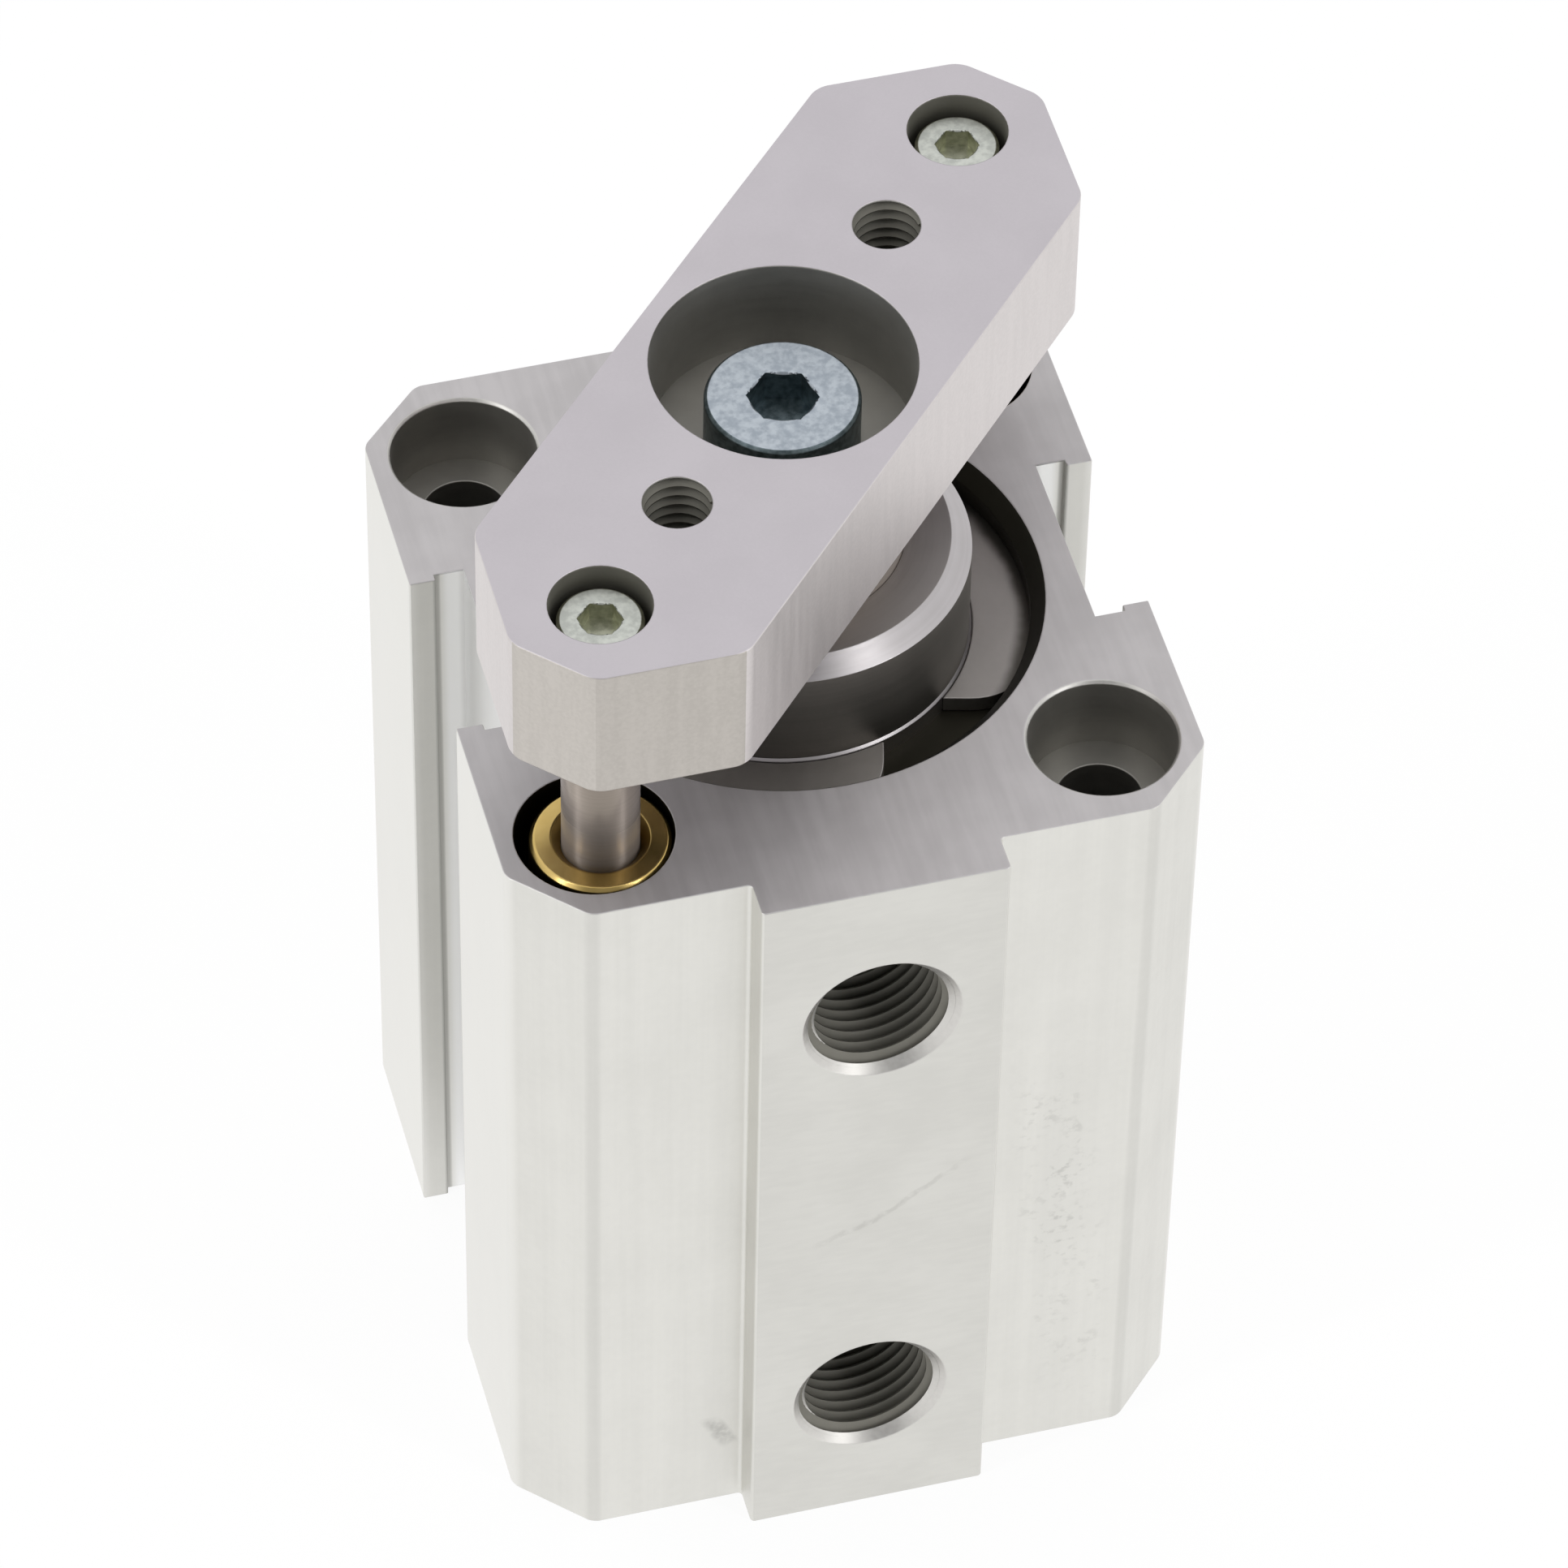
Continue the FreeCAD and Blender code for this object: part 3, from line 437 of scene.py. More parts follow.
# %% Brass and bronze
brass = Finish("brass", Metallic=1.0)
brass_rings = brass.noise(3.0, along=(0.3, 0.3, 1.0))
tarnish = brass.noise(0.7, 3.0)
brass_tone = brass_rings * 0.4 + tarnish * 0.6
brass.surface(
    colour=brass.colours(brass_tone, tint(200, 168, 96), tint(236, 208, 136)),
    roughness=0.16 + 0.12 * tarnish,
    relief=brass_rings,
    depth=0.003 * MM,
)
bearing_bronze = Finish("bearing_bronze", Metallic=1.0)
pores = bearing_bronze.spots(bearing_bronze.noise(6.0), 0.35, 0.6)
bearing_bronze.surface(
    colour=bearing_bronze.colours(pores, tint(120, 88, 56), tint(172, 132, 88)),
    roughness=0.55 - 0.15 * pores,
    relief=pores,
    depth=0.01 * MM,
)

# %% [markdown]
# ### Ground steel
# The rods are hardened, ground and polished, so they mirror what is below them. A few grinding rings
# are left, and these draw a lamp's reflection out along the rod: a second shader, smooth round the
# rod and rough along it, is mixed in for them. The rods are darker and rougher in a band at the height
# where they leave the bushes at rest. The band comes in between the first two heights and is gone
# between the last two.

# %% Ground steel
ground_steel = Finish("ground_steel", Metallic=1.0)
dark_band_begins = (56.0, 61.0)
dark_band_ends = (63.0, 68.5)
grinding = ground_steel.noise(5.0, along=(0.05, 0.05, 1.0))
handling = ground_steel.noise(0.3)
steel_tone = grinding * 0.4 + handling * 0.6
steel_colour = ground_steel.colours(steel_tone, tint(126, 117, 106), tint(142, 133, 122))
# A darker, rougher band at the height where the rods leave the bushes at rest.
darker_above = ground_steel.spots(ground_steel.z, *dark_band_begins)
dark_band = darker_above * (1 - ground_steel.spots(ground_steel.z, *dark_band_ends))
ground_steel.surface(
    colour=ground_steel.colours(dark_band * 0.9, steel_colour, tint(72, 65, 56)),
    roughness=0.1 + 0.06 * grinding + 0.2 * dark_band,
)
grind_sockets = {"Base Color": tint(230, 219, 211), "Metallic": 1.0, "Roughness": 0.55}
grind_sockets |= {"Anisotropic": 1.0, "Anisotropic Rotation": 0.25}
grind_rings = ground_steel.node("ShaderNodeBsdfPrincipled", None, grind_sockets)
ground_steel.overlay(0.26 + 0.08 * grinding, grind_rings)

# %% [markdown]
# ### Zinc, rubber and magnet
# The screws are zinc plated: the large one clear, with a cool blue cast, the small ones pale. In the
# sockets and on the sides of the heads the zinc is painted darker, as shade, teal on the large screw
# and with a yellow tinge on the small ones. Seals and bumpers are black rubber, and the magnet ring
# is ferrite powder bound in plastic.

# %% Zinc plating
def zinc_plating(name, dark, light):
    plating = Finish(name, Metallic=1.0)
    crystals = plating.noise(2.2, 3.0)
    sheen = plating.noise(0.8)
    zinc_tone = plating.spots(crystals * 0.7 + sheen * 0.3, 0.35, 0.65)
    plating.surface(
        colour=plating.colours(zinc_tone, dark, light),
        roughness=0.3 + 0.16 * crystals,
        relief=crystals,
        depth=0.005 * MM,
    )
    return plating


clear_zinc = zinc_plating("clear_zinc", tint(170, 179, 189), tint(202, 210, 218))
pale_zinc = zinc_plating("pale_zinc", tint(194, 197, 191), tint(222, 225, 218))
shaded_socket_zinc = zinc_plating("shaded_socket_zinc", tint(92, 105, 110), tint(132, 145, 150))
shaded_yellow_zinc = zinc_plating("shaded_yellow_zinc", tint(174, 176, 156), tint(208, 209, 190))

# %% Rubber and magnet
def dark_moulding(name, dark, light, roughness, scale):
    moulding = Finish(name, Metallic=0.0)
    grain = moulding.noise(scale, 3.0)
    moulding.surface(
        colour=moulding.colours(grain, dark, light),
        roughness=roughness + 0.2 * grain,
        relief=grain,
        depth=0.008 * MM,
    )
    return moulding


black_rubber = dark_moulding("black_rubber", tint(24, 24, 25), tint(44, 43, 43), 0.5, 4.0)
bonded_magnet = dark_moulding("bonded_magnet", tint(46, 44, 44), tint(78, 75, 74), 0.55, 6.0)

# %% [markdown]
# ## Making a piece
# Almost everything here was turned on a lathe or cut from a bar, so two helpers make nearly all of
# it: one spins a half section about the Z axis, one raises a flat outline. Holes are cutters made by
# the same lathe, taken away with an exact Boolean. A Bevel modifier then breaks the edges that stick
# out by about a tenth of a millimetre, because on real metal it is the broken edge that catches the
# light. Wide rounds are spun in more steps than narrow ones, since flat strips show first on them.

# %% Lathe and prism
WIDE_ROUND = 128
RECESS_ROUND = 96
ROUND = 64
SMALL_ROUND = 48
TINY_ROUND = 32
# A face counts as level when its normal's Z is past the first, as upright when it is under the second
LEVEL = 0.9
UPRIGHT = 0.1
touching = 0.001 * MM


def lathe(section, steps, closed=False, finish_index=0, cone_index=None):
    """Spin (radius, height) points about Z. A closed section makes a ring. Cones may differ."""
    shape = bmesh.new()
    corners = [shape.verts.new((radius, 0, height)) for radius, height in section]
    pairs = list(zip(corners, corners[1:]))
    if closed:
        pairs.append((corners[-1], corners[0]))
    lines = [shape.edges.new(pair) for pair in pairs]
    bmesh.ops.spin(shape, geom=corners + lines, cent=(0, 0, 0), axis=(0, 0, 1),
                   angle=math.tau, steps=steps, use_merge=True)
    bmesh.ops.remove_doubles(shape, verts=shape.verts, dist=touching)
    bmesh.ops.recalc_face_normals(shape, faces=shape.faces)
    for face in shape.faces:
        is_cone = cone_index is not None and UPRIGHT < abs(face.normal.z) < LEVEL
        face.material_index = cone_index if is_cone else finish_index
    return shape


def drill(walls, steps, finish_index, cone_index=None):
    """A cutter with walls through (radius, height) points, upwards, and with flat ends."""
    section = [(0, walls[0][1]), *walls, (0, walls[-1][1])]
    return lathe(section, steps, finish_index=finish_index, cone_index=cone_index)


def prism(outline, base, top):
    """Raise a flat outline of (x, y) corners from height base to height top."""
    shape = bmesh.new()
    floor = shape.faces.new([shape.verts.new((x, y, base)) for x, y in outline])
    raised = bmesh.ops.extrude_face_region(shape, geom=[floor])["geom"]
    lifted = [item for item in raised if isinstance(item, bmesh.types.BMVert)]
    bmesh.ops.translate(shape, verts=lifted, vec=(0, 0, top - base))
    bmesh.ops.recalc_face_normals(shape, faces=shape.faces)
    return shape


def moved(shape, x=0.0, y=0.0, z=0.0):
    bmesh.ops.translate(shape, verts=shape.verts, vec=(x, y, z))
    return shape


def turned(shape, degrees, axis="Z"):
    turn = Matrix.Rotation(math.radians(degrees), 3, axis)
    bmesh.ops.rotate(shape, verts=shape.verts, cent=(0, 0, 0), matrix=turn)
    return shape


print("Lathe and prism are ready")

# %% Cutting
cut_weld = 0.005 * MM


def mesh_object(name, shape, finishes):
    mesh = bpy.data.meshes.new(name)
    shape.to_mesh(mesh)
    shape.free()
    for finish in finishes:
        mesh.materials.append(finish.material)
    made = bpy.data.objects.new(name, mesh)
    bpy.context.scene.collection.objects.link(made)
    return made


def joined(shapes):
    """Put several shapes into one."""
    whole = bmesh.new()
    for shape in shapes:
        mesh = bpy.data.meshes.new("part_of_whole")
        shape.to_mesh(mesh)
        shape.free()
        whole.from_mesh(mesh)
        bpy.data.meshes.remove(mesh)
    return whole


def cut(shape, cutters, finishes):
    """Take the cutters, which don't touch each other, away from a shape."""
    blank = mesh_object("blank", shape, finishes)
    tool = mesh_object("tool", joined(cutters), finishes)
    boolean = blank.modifiers.new("cut", "BOOLEAN")
    boolean.operation = "DIFFERENCE"
    boolean.solver = "EXACT"
    boolean.object = tool
    view = bpy.context.evaluated_depsgraph_get()
    mesh = bpy.data.meshes.new_from_object(blank.evaluated_get(view))
    result = bmesh.new()
    result.from_mesh(mesh)
    bpy.data.meshes.remove(mesh)
    for spare in (blank, tool):
        spare_mesh = spare.data
        bpy.data.objects.remove(spare)
        bpy.data.meshes.remove(spare_mesh)
    bmesh.ops.remove_doubles(result, verts=result.verts, dist=cut_weld)
    bmesh.ops.dissolve_degenerate(result, dist=cut_weld, edges=result.edges)
    return result


print("Shapes can be cut")

# %% Finishing
sharp_angle = math.radians(35)
common_break = 0.1 * MM


def mark_edges(shape, broken):
    """Mark each edge that turns: with a bevel weight where it is to be broken, else as sharp."""
    weight = shape.edges.layers.float.new("bevel_weight_edge")
    for edge in shape.edges:
        if len(edge.link_faces) == 2 and edge.calc_face_angle() > sharp_angle:
            if broken and edge.is_convex:
                edge[weight] = 1.0
            else:
                edge.smooth = False


def add_piece(name, shape, finishes, body, node=None, edge_break=common_break):
    """Make the object, break its edges, and say what it rides on and stands for."""
    mark_edges(shape, edge_break > 0)
    piece = mesh_object(name, shape, finishes)
    piece.data.shade_smooth()
    if edge_break:
        rounding = piece.modifiers.new("broken_edges", "BEVEL")
        rounding.width = edge_break
        rounding.segments = 2
        rounding.limit_method = "WEIGHT"
        rounding.harden_normals = True
        rounding.use_clamp_overlap = False
    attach(piece, body)
    if node:
        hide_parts(node)
    print(f"{name}: {len(piece.data.polygons)} faces")


print("Pieces can be finished")

# %% [markdown]
# ## The body
# An extruded bar with four corner lobes, a switch channel on each side and a boss for the ports.
# It could be modelled as separate blocks, but the real one is a single extrusion, so its outline is
# drawn once and raised. The overall sizes come from the frame, and only what the box can't tell is
# written here.

# %% The bar
body_low, body_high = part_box("cylinder_body")
half_width = body_high.x
half_depth = body_high.y
body_top = body_high.z
boss_face = body_low.y
corner_chamfer = 4.5 * MM
boss_half = 8.1 * MM
channel_mouth = 6.45 * MM
channel_half = 6.95 * MM
channel_lip = 1.75 * MM
channel_depth = 3.7 * MM


def body_outline():
    front_end = half_width - corner_chamfer
    side_end = half_depth - corner_chamfer
    under_lip = half_width - channel_lip
    channel_floor = half_width - channel_depth
    front_corner = [
        (half_width, -side_end),
        (half_width, -channel_mouth),
        (under_lip, -channel_mouth),
        (under_lip, -channel_half),
        (channel_floor, -channel_half),
    ]
    back_corner = [(x, -y) for x, y in reversed(front_corner)]
    right = [(boss_half, boss_face), (boss_half, -half_depth), (front_end, -half_depth)]
    right += front_corner + back_corner + [(front_end, half_depth)]
    return right + [(-x, y) for x, y in reversed(right)]


bar = prism(body_outline(), 0.0, body_top)
print("Bar:", len(bar.faces), "faces")

# %% [markdown]
# The die's corners aren't sharp. Bevel takes a distance along the face, not a radius: for two faces
# that turn by an angle, that distance is the radius times the tangent of half the turn.

# %% Rounded uprights
corner_round = 1.2 * MM
boss_round = 0.3 * MM
close_by = 0.1 * MM


def round_uprights(shape, wanted, radius, turn):
    """Round the upright edges at each wanted (x, y), where the wall turns by so many degrees."""
    edges = []
    for edge in shape.edges:
        start, end = (corner.co for corner in edge.verts)
        if abs(start.z - end.z) > MM and wanted(abs(start.x), abs(start.y)):
            edges.append(edge)
    along_face = radius * math.tan(math.radians(turn) / 2)
    bmesh.ops.bevel(shape, geom=edges, offset=along_face, segments=6, profile=0.5,
                    affect="EDGES", material=-1)
    return len(edges)


def at_lobe(x, y):
    return x > boss_half + MM and y > channel_half + MM


def at_boss(x, y):
    return abs(x - boss_half) < close_by


rounded = round_uprights(bar, at_lobe, corner_round, turn=45)
rounded += round_uprights(bar, at_boss, boss_round, turn=90)
print("Rounded uprights:", rounded)

# %% Finishes of the bar's faces
# The dark oiled finish also stands for painted shade in the bore's mouth and in the crescents.
SKIN, MILLED, BOSS, BORED, EDGE, OILED_AND_SHADED = range(6)
body_finishes = [skin, milled_end, boss, bored_wall, cut_edge, oiled_and_shaded_bore]
for face in bar.faces:
    face.normal_update()
    middle = face.calc_center_median()
    if abs(face.normal.z) > LEVEL:
        face.material_index = MILLED
    elif middle.y < -half_depth - MM and face.normal.y < -LEVEL:
        face.material_index = BOSS
    else:
        face.material_index = SKIN
print("Milled faces:", sum(face.material_index == MILLED for face in bar.faces))

# %% [markdown]
# The bore is stepped: a flared mouth and a ring groove at each end, a slightly wider seat for the
# cover, and the piston's own bore between. One spun section with all the steps cuts it in a single
# stroke, as the boring bar did.

# %% The bore's cutter
ring_low, ring_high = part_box("front_retaining_ring")
rear_ring_low, rear_ring_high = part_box("rear_retaining_ring")
cover_low, cover_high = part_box("rod_cover")
rear_cover_low, rear_cover_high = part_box("rear_cover")
past = 1.0 * MM
bore_radius = 16.0 * MM
cover_seat = 16.25 * MM
ring_groove = 17.05 * MM
mouth_radius = 17.2 * MM
mouth_length = 1.2 * MM
ring_play = 0.05 * MM
bore_walls = [
    (mouth_radius, -past),
    (mouth_radius, 0),
    (cover_seat, mouth_length),
    (cover_seat, rear_ring_low.z),
    (ring_groove, rear_ring_low.z),
    (ring_groove, rear_ring_high.z + ring_play),
    (cover_seat, rear_ring_high.z + ring_play),
    (cover_seat, rear_cover_high.z),
    (bore_radius, rear_cover_high.z),
    (bore_radius, cover_low.z),
    (cover_seat, cover_low.z),
    (cover_seat, ring_low.z - ring_play),
    (ring_groove, ring_low.z - ring_play),
    (ring_groove, ring_high.z),
    (cover_seat, ring_high.z),
    (cover_seat, body_top - mouth_length),
    (mouth_radius, body_top),
    (mouth_radius, body_top + past),
]
bore_cutter = drill(bore_walls, WIDE_ROUND, OILED_AND_SHADED)
print("Bore cutter:", len(bore_cutter.faces), "faces")

# %% [markdown]
# The mounting holes stand on one diagonal and the guide rods on the other. The top of each guide
# bush is cleared by a counterbore that isn't quite on the bush's centre, which leaves a crescent
# beside the brass. Its walls take the dark bore finish, painted shade.

# %% Cutters of the corner holes
bush_low, bush_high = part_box("back_guide_bush")
guide_x = (bush_low.x + bush_high.x) / 2
guide_y = (bush_low.y + bush_high.y) / 2
bush_radius = (bush_high.x - bush_low.x) / 2
mount_x = 16.75 * MM
mount_y = 17.25 * MM
mount_hole = 2.75 * MM
mount_head = 4.8 * MM
mount_head_depth = 5.6 * MM
mount_rim = 0.2 * MM
guide_hole = 3.1 * MM
relief_radius = 5.1 * MM
relief_depth = 6.0 * MM
relief_x = guide_x + 0.35 * MM
relief_y = guide_y - 0.25 * MM


def at_guide(shape, side):
    """Move a shape from the axis to the back guide, side 1, or to the front one, side -1."""
    return moved(shape, side * guide_x, side * guide_y)


def mount_cutter(side):
    floor = body_top - mount_head_depth
    walls = [
        (mount_hole + mount_rim, -past),
        (mount_hole + mount_rim, 0),
        (mount_hole, mount_rim),
        (mount_hole, floor),
        (mount_head, floor),
        (mount_head, body_top - mount_rim),
        (mount_head + mount_rim, body_top),
        (mount_head + mount_rim, body_top + past),
    ]
    return moved(drill(walls, ROUND, BORED, cone_index=EDGE), side * mount_x, -side * mount_y)


def guide_cutter(side):
    walls = [
        (guide_hole, -past),
        (guide_hole, bush_low.z),
        (bush_radius, bush_low.z),
        (bush_radius, body_top + past),
    ]
    return at_guide(drill(walls, ROUND, OILED_AND_SHADED), side)


def relief_cutter(side):
    walls = [(relief_radius, body_top - relief_depth), (relief_radius, body_top + past)]
    return moved(drill(walls, ROUND, OILED_AND_SHADED), side * relief_x, side * relief_y)


corner_cutters = [mount_cutter(-1), mount_cutter(1), guide_cutter(-1), guide_cutter(1)]
print("Corner cutters:", len(corner_cutters))

# %% [markdown]
# The ports lie along Y. Their cutters are spun about Z like all the others, with height counted
# outwards from the boss, and are then tipped over so that up becomes outwards.

# %% Cutters of the ports
port_radius = 4.865 * MM
port_mouth = 5.3 * MM
port_depth = 8.85 * MM
rear_port_height = 11.5 * MM
front_port_height = 49.8 * MM
passage_radius = 1.5 * MM
rear_passage_height = 10.55 * MM
front_passage_height = 50.85 * MM


def tipped(shape, height):
    """Turn a shape so that its up points out of the boss, and set it on the boss at that height."""
    return moved(turned(shape, 90, axis="X"), 0, boss_face, height)


def port_cutter(height):
    countersink = port_mouth - port_radius
    walls = [
        (port_radius, -port_depth),
        (port_radius, -countersink),
        (port_mouth, 0),
        (port_mouth, past),
    ]
    return tipped(drill(walls, ROUND, BORED, cone_index=EDGE), height)


def passage_cutter(height):
    inside = boss_face + bore_radius - past
    walls = [(passage_radius, inside), (passage_radius, past - port_depth)]
    return tipped(drill(walls, TINY_ROUND, BORED), height)


port_cutters = [port_cutter(rear_port_height), port_cutter(front_port_height)]
print("Port cutters:", len(port_cutters))

# %% Cut the body
body_shape = cut(bar, [bore_cutter] + corner_cutters + port_cutters, body_finishes)
second_cutters = [relief_cutter(-1), relief_cutter(1)]
second_cutters += [passage_cutter(rear_passage_height), passage_cutter(front_passage_height)]
body_shape = cut(body_shape, second_cutters, body_finishes)
add_piece("body", body_shape, body_finishes, "barrel", "cylinder_body")

# %% [markdown]
# ## Threads
# The CAD holes stop at the thread's outer diameter. The teeth are a flat triangle spun with a small
# step along the axis each time, which is how a tap cuts them. The wide side of the triangle is sunk
# a little into the wall. In the ports the teeth begin above the mouth, and the cone of the
# countersink trims them, so that no thread starts with a blunt end.

# %% Thread teeth
teeth_sunk = 0.05 * MM
flank_share = 0.47
crest_share = 0.06


def thread(outer, crest, pitch, length, steps):
    """Teeth of an inner thread, from height 0 down to -length."""
    shape = bmesh.new()
    sunk = outer + teeth_sunk
    flank = flank_share * pitch
    flat = crest_share * pitch
    section = [(sunk, -flank), (crest, -flat), (crest, flat), (sunk, flank)]
    corners = [shape.verts.new((radius, 0, height - flank)) for radius, height in section]
    lines = [shape.edges.new(pair) for pair in zip(corners, corners[1:] + corners[:1])]
    turns = length / pitch - 1
    count = round(turns * steps)
    bmesh.ops.contextual_create(shape, geom=corners)
    bmesh.ops.spin(shape, geom=corners + lines, cent=(0, 0, 0), axis=(0, 0, 1),
                   dvec=(0, 0, -pitch / steps), angle=math.tau * count / steps,
                   steps=count, use_merge=False)
    bmesh.ops.holes_fill(shape, edges=shape.edges, sides=4)
    bmesh.ops.recalc_face_normals(shape, faces=shape.faces)
    return shape


print("Threads can be cut")

# %% The ports' threads
thread_finishes = [cut_thread, cut_edge]
TRIMMED = thread_finishes.index(cut_edge)
thread_lead = 0.8 * MM
thread_runout = 0.4 * MM
port_pitch = 0.907 * MM
port_crest = 4.28 * MM


def trimmed(teeth, mouth):
    """Raise the teeth by their lead and cut them with the cone as wide as the mouth at height 0."""
    cone = lathe([(0, -mouth), (mouth + past, past), (0, past)], ROUND, finish_index=TRIMMED)
    return cut(moved(teeth, z=thread_lead), [cone], thread_finishes)


port_teeth = port_depth + thread_lead - thread_runout
ports = {"rear_port_thread": rear_port_height, "front_port_thread": front_port_height}
for name, height in ports.items():
    teeth = thread(port_radius, port_crest, port_pitch, port_teeth, SMALL_ROUND)
    teeth = tipped(trimmed(teeth, port_mouth), height)
    add_piece(name, teeth, thread_finishes, "barrel", edge_break=0)

# %% [markdown]
# ## The covers and their rings
# The rod cover is one turned piece: a flange in the bore, a hub with a bright chamfer, and inside it
# the seats of the seal, the bearing and the bumper. The seats are read from the pieces that sit in
# them. A fine cone at the hub's foot, inside the retaining ring, catches the light as a thin line.

# %% Section of the rod cover
hub_radius = 12.35 * MM
hub_chamfer_width = 1.35 * MM
hub_chamfer_height = 1.0 * MM
hub_foot = 0.17 * MM
land_radius = 8.3 * MM
wiper_lip = 8.02 * MM
hub_lip = 0.6 * MM
o_ring_room = 0.2 * MM
o_ring_play = 0.02 * MM
seat_wall = cover_high.x
bumper_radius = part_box("front_bumper")[1].x
rod_bush_low, rod_bush_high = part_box("rod_bush")
seal_low, seal_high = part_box("rod_seal")


def o_ring_seat(node):
    """Section of the groove round an O-ring, from below to above."""
    low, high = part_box(node)
    base = low.z - o_ring_room
    top = high.z + o_ring_room
    groove_floor = high.x - (high.z - low.z) - o_ring_play
    return [(seat_wall, base), (groove_floor, base), (groove_floor, top), (seat_wall, top)]


cover_section = [(bumper_radius, cover_low.z), (seat_wall, cover_low.z)]
cover_section += o_ring_seat("rod_cover_o_ring")
cover_section += [
    (seat_wall, ring_low.z),
    (hub_radius + hub_foot, ring_low.z),
    (hub_radius + hub_foot, ring_high.z),
    (hub_radius, ring_high.z + hub_foot),
    (hub_radius, cover_high.z - hub_chamfer_height),
    (hub_radius - hub_chamfer_width, cover_high.z),
    (wiper_lip, cover_high.z),
    (wiper_lip, cover_high.z - hub_lip),
    (land_radius, cover_high.z - hub_lip),
    (land_radius, seal_high.z),
    (seal_high.x, seal_high.z),
    (seal_high.x, seal_low.z),
    (land_radius, seal_low.z),
    (land_radius, rod_bush_high.z),
    (rod_bush_high.x, rod_bush_high.z),
    (rod_bush_high.x, rod_bush_low.z),
    (bumper_radius, rod_bush_low.z),
]
print("Section of the rod cover:", len(cover_section), "points")

# %% The rod cover
TURNED, SHADED_HUB_FACE, SHADED_HUB_WALL, FLANGE = range(4)
cover_finishes = [turned_aluminium, shaded_hub_face, shaded_hub_wall, oiled_and_shaded_bore]
cover_break = 0.05 * MM
cover_shape = lathe(cover_section, WIDE_ROUND, closed=True, finish_index=TURNED)
# The hub's face and wall take darker copies of the turned finish, painted shade, and below the ring the
# cover takes the dark bore finish, painted shade where the ring's gap shows it.
for face in cover_shape.faces:
    middle = face.calc_center_median()
    if face.normal.z > LEVEL and middle.z > ring_high.z:
        face.material_index = SHADED_HUB_FACE
    elif abs(face.normal.z) < UPRIGHT and middle.z > ring_high.z:
        face.material_index = SHADED_HUB_WALL
    elif middle.z < ring_low.z + close_by:
        face.material_index = FLANGE
add_piece("hub_cover", cover_shape, cover_finishes, "barrel", "rod_cover",
          cover_break)

# %% The rear cover
rear_bumper_low, rear_bumper_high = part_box("rear_bumper")
bumper_bore = 8.6 * MM
rear_break = 0.06 * MM
rear_section = [(0, rear_cover_low.z), (seat_wall, rear_cover_low.z)]
rear_section += o_ring_seat("rear_cover_o_ring")
rear_section += [
    (seat_wall, rear_cover_high.z),
    (rear_bumper_high.x, rear_cover_high.z),
    (rear_bumper_high.x, rear_bumper_low.z),
    (bumper_bore, rear_bumper_low.z),
    (bumper_bore, rear_cover_high.z),
    (0, rear_cover_high.z),
]
rear_shape = lathe(rear_section, WIDE_ROUND)
add_piece("base_cover", rear_shape, [turned_aluminium], "barrel", "rear_cover",
          rear_break)

# %% [markdown]
# A retaining ring is stamped from spring sheet and sprung into its groove. The sides of its gap
# slope at 45 degrees and its ends are rounded off outside. The rounding is an arc that touches the
# slope and the ring's own edge, and its centre follows from that: it is as far from the slope as its
# radius, and on a circle inside the ring's edge.

# %% Outline of a retaining ring
ring_inner = 12.55 * MM
ring_outer = ring_high.y
ring_end_round = 4.5 * MM
gap_shift = 9.6 * MM
ring_steps = 60
end_steps = 10


def arc(centre, radius, start, end, steps):
    """Points on an arc between two angles in radians, both ends among them."""
    angles = [start + (end - start) * step / steps for step in range(steps + 1)]
    x, y = centre
    return [(x + radius * math.cos(angle), y + radius * math.sin(angle)) for angle in angles]


def slope_on_circle(radius, shift):
    """Where the line that rises at 45 degrees from (shift, 0) meets a circle about the origin."""
    along = (shift + math.sqrt(2 * radius * radius - shift * shift)) / 2
    return along, along - shift


def ring_outline():
    """Half of a ring, from the middle of its back to its gap and back inside, closed on X."""
    inner_x, inner_y = slope_on_circle(ring_inner, gap_shift)
    inner_end = math.atan2(inner_y, inner_x)
    centre_shift = gap_shift - ring_end_round * math.sqrt(2)
    centre = slope_on_circle(ring_outer - ring_end_round, centre_shift)
    touch = math.atan2(centre[1], centre[0])
    half = arc((0, 0), ring_outer, math.pi, touch, ring_steps)
    half += arc(centre, ring_end_round, touch, -math.pi / 4, end_steps)[1:]
    half += arc((0, 0), ring_inner, inner_end, math.pi, ring_steps)[:-1]
    return half + [(-ring_inner, 0)]


print("Half outline of a ring:", len(ring_outline()), "points")

# %% Retaining rings
front_gap_angle = -60
rear_gap_angle = 90


def retaining_ring(base, top, gap_angle):
    half = prism(ring_outline(), base, top)
    seam = [face for face in half.faces if abs(face.normal.y + 1) < 0.001]
    bmesh.ops.delete(half, geom=seam, context="FACES")
    everything = half.verts[:] + half.edges[:] + half.faces[:]
    bmesh.ops.mirror(half, geom=everything, merge_dist=touching, axis="Y")
    bmesh.ops.recalc_face_normals(half, faces=half.faces)
    return turned(half, gap_angle)


front_ring = retaining_ring(ring_low.z, ring_high.z, front_gap_angle)
rear_ring = retaining_ring(rear_ring_low.z, rear_ring_high.z, rear_gap_angle)
add_piece("front_spring_ring", front_ring, [spring_steel], "barrel",
          "front_retaining_ring")
add_piece("rear_spring_ring", rear_ring, [spring_steel], "barrel",
          "rear_retaining_ring")

# %% [markdown]
# ## Guides and rods
# Two brass bushes, two slim guide rods and the piston rod are plain turnings with chamfered ends.
# They are rebuilt here because a spun section shades as a true round, while the CAD mesh is made of
# flat strips.

